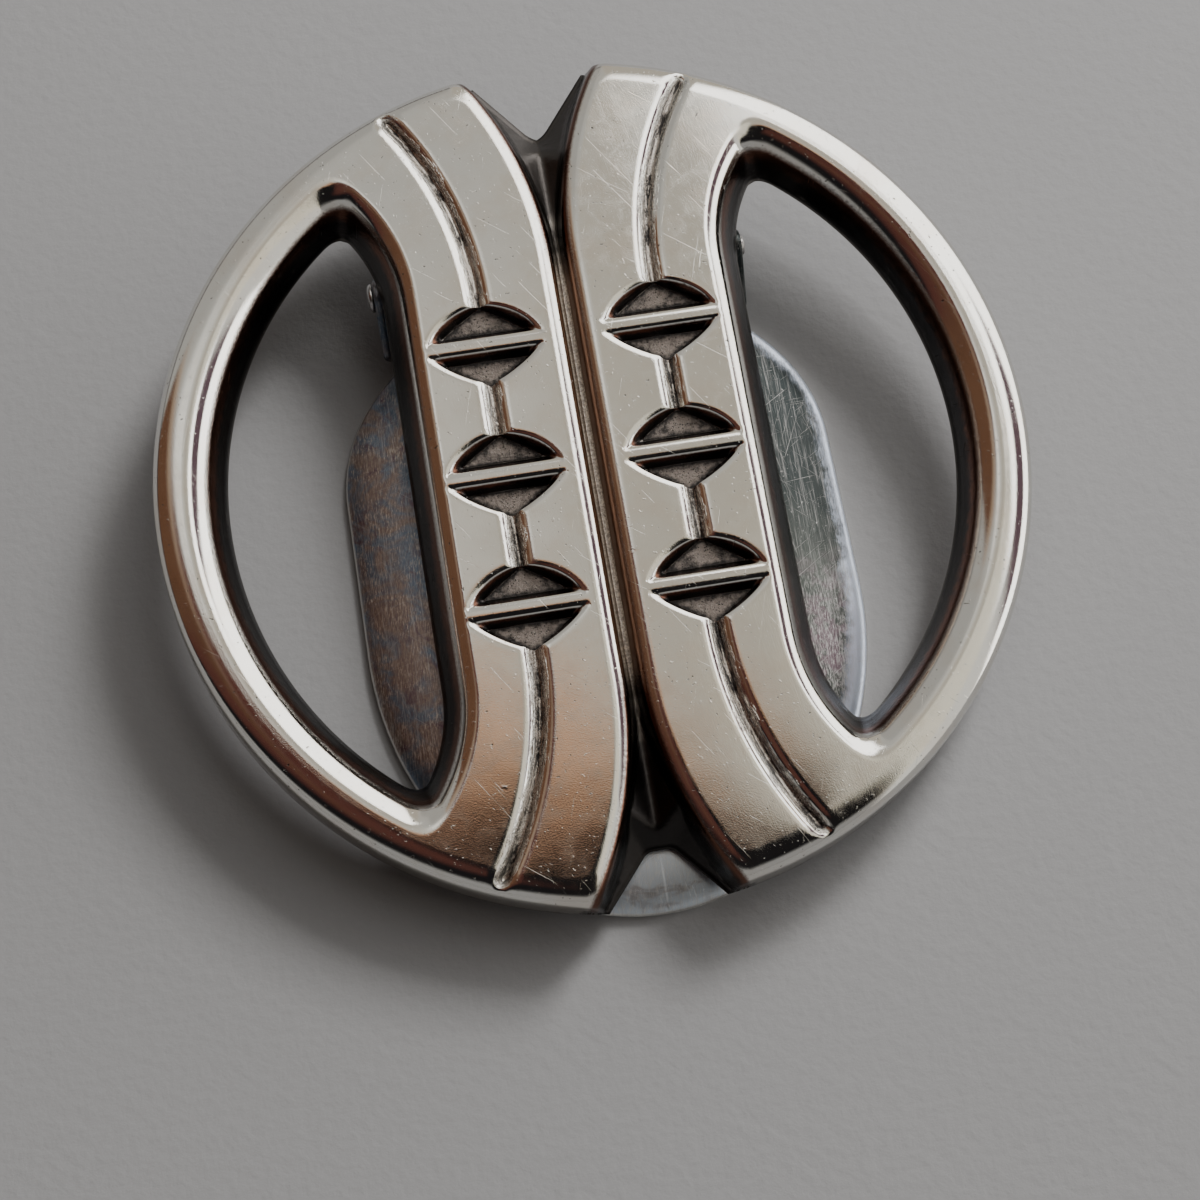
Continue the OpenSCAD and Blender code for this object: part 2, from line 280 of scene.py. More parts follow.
def ornament_matrix():
    """From the ornament's own plane, in millimetres, to the row frame, in metres."""
    lean, middle_y, rise = back_plane()
    return (
        Matrix.Translation((0, middle_y, rise)) @ Matrix.Rotation(lean, 4, "X") @ Matrix.Scale(MM, 4)
    )


def hinge_place():
    """The hinge axis in the row frame, in millimetres: distance along Y and height."""
    joint = next(j for j in frame["joints"] if j["name"] == "clip_hinge")
    return joint["pos_m"][1] / MM, joint["pos_m"][2] / MM


# Curves and loops, in millimetres

FAR = 1e9
MERGE = 1e-4


def smooth_max(a, b, reach):
    """The larger of two fields, rounded where they come within reach of each other."""
    near = np.clip(1 - np.abs(a - b) / reach, 0, 1)
    return np.maximum(a, b) + near * near * reach / 4


def smooth_min(a, b, reach):
    """The smaller of two fields, rounded where they come within reach of each other."""
    return -smooth_max(-a, -b, reach)


def ease(value, low, high):
    """0 up to low, 1 from high on, and a smooth step between."""
    t = np.clip((value - low) / (high - low), 0, 1)
    return t * t * (3 - 2 * t)


def crossing(beyond, near, far, rounds):
    """Ranges narrowed by halving to where a test of the distance turns true."""
    for _ in range(rounds):
        middle = (near + far) / 2
        past = beyond(middle)
        far = np.where(past, middle, far)
        near = np.where(past, near, middle)
    return near, far


def star_loops(field, centre, angles, levels, reach):
    """Loops where a field that grows outwards from a centre has each level, on rays at the angles."""
    ray_x, ray_y = np.cos(angles), np.sin(angles)
    wanted = np.array(levels, float)[:, None]

    def beyond(out):
        return field(centre[0] + out * ray_x, centre[1] + out * ray_y) > wanted

    shape = (len(levels), len(angles))
    _, far = crossing(beyond, np.zeros(shape), np.full(shape, float(reach)), 42)
    loops = np.stack([centre[0] + far * ray_x, centre[1] + far * ray_y], axis=2)
    loops[np.abs(loops) < 1e-9] = 0
    return list(loops)


def even_angles(field, centre, level, reach, start, end, spacing, per_turn):
    """Angles that space a star loop's points evenly, with more of them where the loop turns."""
    fine = np.linspace(start, end, 4001)
    step = np.diff(star_loops(field, centre, fine, [level], reach)[0], axis=0)
    heading = np.unwrap(np.arctan2(step[:, 1], step[:, 0]))
    turn = np.abs(np.diff(heading, prepend=heading[0]))
    total = np.concatenate([[0], np.cumsum(np.hypot(step[:, 0], step[:, 1]) + per_turn * turn)])
    count = int(total[-1] / spacing) + 1
    return np.interp(np.linspace(0, total[-1], count + 1), total, fine)


def edge_distance(x, y, start, end):
    """Distance to the straight edge between two points."""
    (ax, ay), (bx, by) = start, end
    ux, uy = bx - ax, by - ay
    along = np.clip(((x - ax) * ux + (y - ay) * uy) / max(ux * ux + uy * uy, 1e-12), 0, 1)
    return np.hypot(x - ax - along * ux, y - ay - along * uy)


def outline_distance(x, y, outline):
    """Distance to a closed outline, positive inside it."""
    best = np.full(np.shape(x), FAR)
    inside = np.zeros(np.shape(x), bool)
    for (ax, ay), (bx, by) in zip(outline, np.roll(outline, -1, axis=0)):
        best = np.minimum(best, edge_distance(x, y, (ax, ay), (bx, by)))
        if ay != by:
            inside ^= ((ay > y) != (by > y)) & (x < ax + (y - ay) * (bx - ax) / (by - ay))
    return np.where(inside, best, -best)


def between(outline, holes):
    """A test for points inside an outline and outside its holes."""

    def keep(x, y):
        inside = outline_distance(x, y, outline) > 0
        for hole in holes:
            inside &= outline_distance(x, y, hole) < 0
        return inside

    return keep


def triangulate(chains, keep, extra=()):
    """Triangles over all the chains' points, with each chain kept as edges, where keep says so."""
    points, edges = [], []
    for chain in chains:
        first = len(points)
        points.extend(Vector(p) for p in chain)
        edges.extend((first + i, first + i + 1) for i in range(len(chain) - 1))
    points.extend(Vector(p) for p in extra)
    found, _, faces, source, _, _ = delaunay_2d_cdt(points, edges, [], 0, MERGE)
    flat = np.array([tuple(p) for p in found])
    flat[np.abs(flat) < 2e-6] = 0
    triangles = np.array([tuple(f) for f in faces])
    middle = flat[triangles].mean(axis=1)
    return flat, triangles[keep(middle[:, 0], middle[:, 1])], source


def used_points(flat, triangles):
    """The points that triangles use, as x and y, and the triangles renumbered to them."""
    used, place = np.unique(triangles, return_inverse=True)
    x, y = flat[used].T
    return x, y, place.reshape(-1, 3)


def mirrored(points, triangles, axis):
    """The points and triangles with their mirror image across one axis, joined where they meet."""
    image = points.copy()
    image[:, axis] *= -1
    both = np.concatenate([points, image])
    faces = np.concatenate([triangles, triangles[:, ::-1] + len(points)])
    flat = np.round(both[:, :2], 6) + 0.0
    _, first, place = np.unique(flat, axis=0, return_index=True, return_inverse=True)
    faces = place.ravel()[faces]
    return both[first], faces


def rim_loops(triangles):
    """The closed loops of vertices along the open edges of a triangle mesh, metal on their left."""
    sides = np.concatenate([triangles[:, [0, 1]], triangles[:, [1, 2]], triangles[:, [2, 0]]])
    known = {tuple(side) for side in sides.tolist()}
    following = {a: b for a, b in known if (b, a) not in known}
    loops = []
    while following:
        start, here = following.popitem()
        loop = [start]
        while here != start:
            loop.append(here)
            here = following.pop(here)
        loops.append(loop)
    return loops


def inward(loop):
    """Unit vectors that point from a closed loop towards the metal on its left."""
    step = np.roll(loop, -1, axis=0) - np.roll(loop, 1, axis=0)
    step /= np.hypot(step[:, 0], step[:, 1])[:, None]
    return np.column_stack([-step[:, 1], step[:, 0]])


def mesh_object(name, points, faces, matrix, attributes=None, flat=None):
    """A smooth-shaded object at the origin, with its place in its mesh, and flat where flat says so."""
    mesh = bpy.data.meshes.new(name)
    mesh.from_pydata([tuple(p) for p in points], [], [tuple(f) for f in faces])
    smooth = np.ones(len(faces), bool) if flat is None else ~flat
    mesh.polygons.foreach_set("use_smooth", smooth)
    for key, values in (attributes or {}).items():
        layer = mesh.attributes.new(key, "FLOAT", "POINT")
        layer.data.foreach_set("value", np.asarray(values, np.float32))
    mesh.transform(matrix)
    mesh.validate()
    mesh.update()
    piece = bpy.data.objects.new(name, mesh)
    bpy.context.scene.collection.objects.link(piece)
    return piece


# The casting's form, as a height over its flat back


class Casting:
    """Heights of the casting from the distances to its edges and to its engraving."""

    edge_round = 0.12
    corner_round = 1.2
    end_round = 0.7
    notch_rounds = (0.8, 0.3)
    typical = (1.0, 1.9, 0.8)
    web_reach = 1.5
    web_dive = 2.5
    groove_end = (10, 16)
    weld_end = (14, 21)
    wall_marks = (1.5, 1.05)
    rail_offsets = (0, 0.08, 0.15, 0.22, 0.29, 0.36, 0.43, 0.5, 0.58, 0.68, 0.8, 0.96)
    pit_levels = (-0.5, -0.4, -0.3, -0.2, -0.12, -0.05, 0.0, 0.05, 0.12, 0.2, 0.3, 0.42, 0.56)
    notch_levels = (0, 0.15, 0.35, 0.55, 0.75, 0.9, 1.0, 1.1, 1.25, 1.5)

    def __init__(self, sizes, cuts):
        self.s = sizes
        self.c = cuts
        self.pits = [(step * cuts.pitch, way) for step in (-1, 0, 1) for way in (1, -1)]
        self.tip = cuts.bar / 2 + cuts.pit_height
        self.web_side = sizes.notch_mouth + self.web_reach

    def rise(self, distance, wall, run, shoulder):
        """Height up an edge: a drafted wall, then a parabola that rolls onto the face."""
        high = self.s.thickness
        low, turn = shoulder * high, wall / shoulder
        past = np.clip(distance, wall, run) - wall
        bend, slope = wall - 2 * turn + run, 2 * (turn - wall)
        t = 2 * past / (slope + np.sqrt(slope**2 + 4 * bend * past))
        return np.where(distance < wall, low * distance / wall, high - (1 - t) ** 2 * (high - low))

    def level(self, distance, wall, run, shoulder):
        """The distance that has the same height on the typical edge."""
        high = self.s.thickness
        height = self.rise(distance, wall, run, shoulder)
        usual_wall, usual_run, usual_shoulder = self.typical
        low = usual_shoulder * high
        t = 1 - np.sqrt(np.clip((high - height) / (high - low), 0, 1))
        roll = (1 - t) ** 2 * usual_wall + 2 * t * (1 - t) * usual_wall / usual_shoulder + t * t * usual_run
        level = np.where(height < low, height / low * usual_wall, roll)
        return np.where(distance > run, usual_run + distance - run, level)

    def from_rim(self, x, y):
        """Distance inside the round outline."""
        return self.s.outer_radius - np.hypot(x, y)

    def beside_groove(self, x, y):
        """Distance inside a band from its back edge beside the groove."""
        s = self.s
        down = y - np.clip(y, -s.near_turn, s.near_turn)
        return s.near_sweep + s.near_run - np.hypot(x - s.band_near - s.near_sweep, down)

    def near_level(self, x, y):
        """Level inside a band from the wall beside the groove."""
        s = self.s
        return self.level(self.beside_groove(x, y), s.near_wall, s.near_run, s.near_shoulder)

    def rim(self, x, y):
        """Level of one half within the outline and the wall beside the groove."""
        s = self.s
        outer = self.level(self.from_rim(x, y), s.outer_wall, s.outer_run, s.outer_shoulder)
        return smooth_min(outer, self.near_level(x, y), self.end_round)

    def opening(self, x, y):
        """Level outside the opening between the ring and a band."""
        s = self.s
        ring = self.level(np.hypot(x, y) - s.ring_radius, s.ring_wall, s.ring_run, s.ring_shoulder)
        down = y - np.clip(y, -s.far_turn, s.far_turn)
        far = np.hypot(x - s.band_far - s.far_sweep, down) - s.far_sweep + s.far_run
        return smooth_max(ring, self.level(far, s.far_wall, s.far_run, s.far_shoulder), self.corner_round)

    def half_level(self, x, y):
        """Level of one half within all its edges."""
        return np.minimum(self.rim(x, y), self.opening(x, y))

    def from_notch(self, x, y):
        """Distance from the notch, positive on the web; the upper notch is rounder."""
        s = self.s
        up = np.abs(y)
        depth = np.where(y > 0, s.notch_above, s.notch_below)
        half = np.where(y > 0, s.floor_above, s.floor_below)
        mouth_y = math.sqrt(s.outer_radius**2 - s.notch_mouth**2)
        spread = (s.notch_mouth - half) / (mouth_y - depth)
        side = (np.abs(x) - half - spread * (up - depth)) / np.hypot(1, spread)
        return smooth_max(depth - up, side, np.where(y > 0, *self.notch_rounds))

    def web(self, x, y):
        """Height of the web between the halves, which ends inside the bands."""
        s = self.s
        slope = s.web_height * self.from_notch(x, y) / s.notch_bevel
        outer = self.rise(self.from_rim(x, y), s.outer_wall, s.outer_run, s.outer_shoulder)
        rise = s.valley * ease(np.abs(y), s.near_turn - 1, s.near_turn + 5)
        floor = s.web_height + s.groove_rise * (1 - ease(np.abs(y), *self.groove_end))
        valley = np.minimum(floor + rise * (np.hypot(x, 0.3) - 0.3), 0.8 * s.thickness)
        height = np.minimum(smooth_min(slope, valley, 0.3), outer)
        buried = np.maximum(self.beside_groove(np.abs(x), y) - 0.75 * s.near_run, 0)
        height = height - self.web_dive * buried
        return np.where(np.abs(x) < self.web_side, np.maximum(height, 0), 0)

    def from_line(self, x, y):
        """Distance from the middle of the engraved line."""
        c = self.c
        up = np.abs(y)
        swept = np.abs(np.hypot(x - c.line_x - c.line_sweep, up - c.line_turn) - c.line_sweep)
        return np.where(up < c.line_turn, np.abs(x - c.line_x), swept)

    def line_strength(self, x, y):
        """1 where the line is cut, 0 at the triangles and at the outline."""
        c = self.c
        up = np.abs(y)
        first, following, last = self.tip, c.pitch - self.tip, c.pitch + self.tip
        inner = ease(up, first - 0.9, first - 0.5) * (1 - ease(up, following + 0.5, following + 0.9))
        outer = ease(up, last - 0.9, last - 0.5)
        return (inner + outer) * ease(self.from_rim(x, y), 0.45, 1.35)

    def pit_outline(self, row, way):
        """Outline of one triangle at the face: its base on the bar and its bowed sides to the tip."""
        c = self.c
        half = c.pit_width / 2
        share = np.linspace(0, 1, 11)
        bulge = c.bulge_above if way > 0 else c.bulge_below
        bow = 4 * bulge * share * (1 - share) * (1.15 - 0.3 * share)
        lean = math.hypot(half, c.pit_height)
        side_x = half * (1 - share) + bow * c.pit_height / lean
        side_y = c.bar / 2 + c.pit_height * share + bow * half / lean
        right = np.column_stack([side_x, side_y])
        left = right[::-1][1:] * (-1, 1)
        return np.concatenate([right, left]) * (1, way) + (c.line_x, row)

    def pit_floor(self, row, way):
        """Outline of one triangle's floor, with straight sides."""
        c = self.c
        half, base = c.pit_width / 2, c.bar / 2
        out = half - c.pit_wall * half / c.pit_height - 0.15
        tip = base + c.pit_height - 0.12
        corners = [(out, base + c.pit_wall), (0.15, tip), (-0.15, tip), (-out, base + c.pit_wall)]
        return np.array(corners) * (1, way) + (c.line_x, row)

    def lip(self, inside):
        """Depth of the soft lip at a distance inside an engraved outline."""
        c = self.c
        return c.lip_depth * np.clip(1 + inside / c.lip, 0, 1) ** 2

    def triangles(self, x, y):
        """Depth of the triangles, how far down their walls a point is, and how far inside their floors."""
        c = self.c
        depth, down, within = (np.zeros(np.shape(x)) for _ in range(3))
        for row, way in self.pits:
            inside = outline_distance(x, y, self.pit_outline(row, way))
            floor = outline_distance(x, y, self.pit_floor(row, way))
            partway = np.maximum(inside, 1e-6) / (np.maximum(inside, 1e-6) + np.maximum(-floor, 1e-6))
            share = np.where(floor >= 0, 1.0, np.where(inside > 0, partway, 0))
            settled = np.minimum(smooth_min(1.04 * share, 1.0, 0.16), 1)
            deep = c.lip_depth + (c.pit_depth - c.lip_depth) * settled
            depth = np.maximum(depth, np.where(inside > 0, deep, self.lip(inside)))
            down = np.maximum(down, share)
            within = np.maximum(within, np.maximum(floor, 0))
        return depth, down, within

    def cut(self, x, y):
        """Depth of the engraving under the face."""
        c = self.c
        off = self.from_line(x, y)
        floor = c.line_depth - 0.07 * ease(off, 0, 0.2)
        line = c.lip_depth + (floor - c.lip_depth) * (1 - ease(off, 0.12, c.line_half))
        line = np.where(off < c.line_half, line, self.lip(c.line_half - off))
        return smooth_max(self.triangles(x, y)[0], line * self.line_strength(x, y), 0.05)

    def height(self, x, y):
        """Height of the metal over the back."""
        half = self.rise(self.half_level(x, y), *self.typical)
        half = half - self.cut(x, y) * (half > 0)
        web = self.web(x, y)
        blend = 0.35 + 0.5 * ease(np.abs(y), *self.weld_end)
        both = np.maximum(half, web)
        rounded = smooth_max(half, web, blend * np.clip(both / 0.5, 0.02, 1))
        return np.maximum(np.where(np.minimum(half, web) > 0, rounded, both), self.edge_round)

    def solid(self, x, y):
        """Where there is metal."""
        half = self.half_level(x, y) > 0
        web = (self.from_notch(x, y) > 0) & (np.hypot(x, y) < self.s.outer_radius)
        return half | (web & (x < self.web_side))

    def marks(self, x, y):
        """Shares for the finish: inner walls, floors of the triangles, the line, and the web."""
        c = self.c
        beside, across = self.wall_marks
        _, down, within = self.triangles(x, y)
        wall = np.maximum(1 - self.near_level(x, y) / beside, 1 - self.opening(x, y) / across)
        wall = np.maximum(np.clip(wall, 0, 1), np.where(within > 0, 0, down))
        floor = np.where(within > 0, np.clip(0.3 + within / 0.8, 0, 1), 0)
        line = np.clip(1 - self.from_line(x, y) / (c.line_half + 0.1), 0, 1) * self.line_strength(x, y)
        line = line * (1 - np.clip(6 * down, 0, 1))
        half = self.rise(self.half_level(x, y), *self.typical)
        web = ease(self.web(x, y) - half, -0.2, 0.08) * (np.abs(x) < self.web_side)
        return np.column_stack([wall, floor, line, web])

    def rails(self):
        """The engraved line at several distances from its middle, between the triangles and past them."""
        c = self.c
        lap = 0.8
        inner = np.linspace(self.tip - lap, c.pitch - self.tip + lap, 18)
        outer = np.linspace(c.pitch + self.tip - lap, c.line_turn, 5)[:-1]
        turn = np.linspace(0, math.radians(37), 50)
        chains = []
        for off in self.rail_offsets:
            for way in (-1, 1) if off else (1,):
                x = c.line_x + way * off
                radius = c.line_sweep - way * off
                arc_x = c.line_x + c.line_sweep - radius * np.cos(turn)
                arc_y = c.line_turn + radius * np.sin(turn)
                chains.append(np.column_stack([np.full(len(inner), x), inner]))
                straight = np.full(len(outer), x)
                swept = np.column_stack([np.append(straight, arc_x), np.append(outer, arc_y)])
                chains.append(swept[self.from_rim(*swept.T) > 0.3])
        return chains

    def pit_chains(self):
        """Loops round each triangle at the face and round its floor, on its own side of the bar."""
        c = self.c
        chains = []
        for row, way in self.pits:
            outline = self.pit_outline(row, way)

            def pit(x, y, outline=outline):
                return -outline_distance(x, y, outline)

            centre = (c.line_x, row + way * (c.bar / 2 + 0.42 * c.pit_height))
            start = -way * math.pi / 2
            angles = even_angles(pit, centre, 0, 8, start, start + 2 * math.pi, 0.16, 0.35)
            for loop in star_loops(pit, centre, angles, [-v for v in self.pit_levels], 8):
                loop[-1] = loop[0]
                clear = (loop[:, 1] - row) * way > 0.02
                chains.append(loop[clear])
            foot = self.pit_floor(row, way)
            middle = foot.mean(axis=0)
            for inset in (-0.1, -0.04, 0.0, 0.05, 0.16):
                spread = middle + (foot - middle) * (1 - inset / (0.3 * c.pit_height))
                chains.append(rounded_chain([*spread, spread[0]], 0.02, 0.16))
        return chains

    def notch_chains(self, way):
        """Contours of the slope down to one notch."""
        fan = np.linspace(-math.pi / 2, -0.25, 60) * way
        chains = []
        for loop in star_loops(self.from_notch, (0.0, 30.0 * way), fan, self.notch_levels, 40):
            loop[0, 0] = 0
            past = np.hypot(loop[:, 0], loop[:, 1]) - self.s.outer_radius
            inside, outside = past < -0.15, (past > 0.05) & (past < 0.4)
            chains.append(loop[inside | outside])
        return chains

    def half(self):
        """Points and triangles of the top side where x is positive."""
        s = self.s
        wall = [0, 0.25, 0.5, 0.7]
        roll = [0.82, 0.9, 0.96, 1.02, 1.08, 1.15, 1.23, 1.32, 1.42, 1.52, 1.62, 1.72, 1.82, 1.9]
        guard = [1.97, 2.12]

        def rim(x, y):
            return -self.rim(x, y)

        centre = (12.0, 0.0)
        angles = even_angles(rim, centre, -1, 40, 0, math.pi, 0.3, 4)
        levels = sorted([*wall, 0.35, 0.42, 0.6, *roll, *guard])
        upper = star_loops(rim, centre, angles, [-v for v in levels], 40)
        centre = (15.0, 0.0)
        angles = even_angles(self.opening, centre, 1, 40, 0, math.pi, 0.3, 4)
        upper += star_loops(self.opening, centre, angles, wall + roll + guard, 40)
        upper += self.rails()
        margin = 1.2
        meeting = math.acos((s.notch_mouth + margin) / s.outer_radius)
        turn = np.linspace(meeting, math.pi / 2, 24)
        for inset in (0, 0.13, 0.25):
            radius = s.outer_radius - inset
            upper.append(np.column_stack([radius * np.cos(turn), radius * np.sin(turn)]))
        along = np.arange(0, min(s.notch_below, s.notch_above), 0.4)
        upper += [np.column_stack([np.full(len(along), x), along]) for x in (0.08, 0.16, 0.25, 0.33)]
        chains = upper + [chain * (1, -1) for chain in upper]
        chains += self.notch_chains(1) + self.notch_chains(-1) + self.pit_chains()

        on_axis = {0.0, *along.tolist(), *(-along).tolist()}
        on_axis.update(float(p[1]) for chain in chains for p in chain if p[0] == 0)
        chains.append(np.array([(0, y) for y in sorted(on_axis)]))
        chains = [chain[chain[:, 0] >= 0] for chain in chains]
        return triangulate([chain for chain in chains if len(chain) > 1], self.solid)

    def shell(self):
        """The whole casting, closed by its flat back with a softly rounded edge."""
        flat, triangles, _ = self.half()
        x, y, triangles = used_points(flat, triangles)
        points = np.column_stack([x, y, self.height(x, y), self.marks(x, y)])
        points, triangles = mirrored(points, triangles, 0)
        faces = [triangles]
        rounding = self.edge_round
        insets = [(0.12 * rounding, 0.35 * rounding), (0.4 * rounding, 0.0)]
        lower = []
        for loop in rim_loops(triangles):
            way = inward(points[loop, :2])
            above = np.array(loop)
            for inset, height in insets:
                row = points[loop].copy()
                row[:, :2] += way * inset
                row[:, 2] = height
                below = np.arange(len(points), len(points) + len(loop))
                points = np.concatenate([points, row])
                faces += strip(above, below)
                above = below
            lower.append(above)
        place, back = cap(points, lower, lambda x, y: self.solid(np.abs(x), y))
        faces.append(place[back][:, ::-1])
        faces = np.concatenate(faces)
        return points, faces, np.arange(len(faces)) >= len(faces) - len(back)


def strip(above, below):
    """Triangles between two closed rows of vertices, the upper one first, seen from outside."""
    ahead, under = np.roll(above, -1), np.roll(below, -1)
    return [np.column_stack([above, below, ahead]), np.column_stack([ahead, below, under])]


def cap(points, loops, keep):
    """Triangles between closed rows of vertices: the place of each point, and the triangles."""
    closed = [np.append(loop, loop[0]) for loop in loops]
    order = np.concatenate(closed)
    _, triangles, source = triangulate([points[loop, :2] for loop in closed], keep)
    assert all(source), "an outline crosses itself"
    return np.array([order[found[0]] for found in source]), triangles


def rounded_chain(corners, radius, step):
    """An open chain with its inner corners rounded, in even short steps."""
    corners = np.array(corners, float)
    chain = [corners[0]]
    for before, corner, after in zip(corners, corners[1:], corners[2:]):
        back, ahead = before - corner, after - corner
        room = min(radius, 0.45 * np.hypot(*back), 0.45 * np.hypot(*ahead))
        start = corner + back / np.hypot(*back) * room
        end = corner + ahead / np.hypot(*ahead) * room
        for t in np.linspace(0, 1, 9):
            chain.append((1 - t) ** 2 * start + 2 * t * (1 - t) * corner + t * t * end)
    chain = np.array([*chain, corners[-1]])
    length = np.append(0, np.cumsum(np.hypot(*np.diff(chain, axis=0).T)))
    marks = np.linspace(0, length[-1], int(length[-1] / step) + 1)
    return np.column_stack([np.interp(marks, length, chain[:, i]) for i in (0, 1)])


def rounded_outline(corners, radius, step):
    """A closed outline with its corners rounded, in even short steps."""
    corners = np.array(corners, float)
    middle = (corners[:1] + corners[-1:]) / 2
    return rounded_chain(np.concatenate([middle, corners, middle]), radius, step)[:-1]


def ring(centre, radius, count, hole=False):
    """A round loop, clockwise where it is a hole."""
    turn = np.linspace(0, 2 * math.pi, count, endpoint=False)
    turn = turn[::-1] if hole else turn
    return np.column_stack([centre[0] + radius * np.cos(turn), centre[1] + radius * np.sin(turn)])


def prism(loops, half, rounding):
    """A slab with rounded edges between two copies of an outline and the holes that follow it."""
    sides = [(rounding, half), (0.3 * rounding, half - 0.3 * rounding), (0, half - rounding)]
    rows = sides + [(inset, -high) for inset, high in sides[::-1]]
    points, faces, tops, feet = np.zeros((0, 3)), [], [], []
    for loop in loops:
        way = inward(loop)
        above = None
        for inset, high in rows:
            row = np.column_stack([loop + way * inset, np.full(len(loop), high)])
            below = np.arange(len(points), len(points) + len(loop))
            points = np.concatenate([points, row])
            if above is None:
                tops.append(below)
            else:
                faces += strip(above, below)
            above = below
        feet.append(above)
    keep = between(loops[0], loops[1:])
    place, top = cap(points, tops, keep)
    faces.append(place[top])
    place, foot = cap(points, feet, keep)
    faces.append(place[foot][:, ::-1])
    faces = np.concatenate(faces)
    return points, faces, np.arange(len(faces)) >= len(faces) - len(top) - len(foot)


def lathe(profile, sides):
    """A closed turned solid along X from rows of distance along it and radius, ends on the axis."""
    profile = np.array(profile, float)
    turn = np.linspace(0, 2 * math.pi, sides, endpoint=False)
    rows = [
        np.column_stack([np.full(sides, along), radius * np.cos(turn), radius * np.sin(turn)])
        for along, radius in profile[1:-1]
    ]
    points = np.concatenate([[(profile[0, 0], 0, 0)], *rows, [(profile[-1, 0], 0, 0)]])
    index = 1 + np.arange(len(rows) * sides).reshape(len(rows), sides)
    faces = []
    for low, high in zip(index, index[1:]):
        faces += strip(low, high)
    first, last = index[0], index[-1]
    faces.append(np.column_stack([np.zeros(sides, int), first, np.roll(first, -1)]))
    faces.append(np.column_stack([np.full(sides, len(points) - 1), np.roll(last, -1), last]))
    return points, np.concatenate(faces)


# The clip plate, as a flat pattern whose ears are then folded up


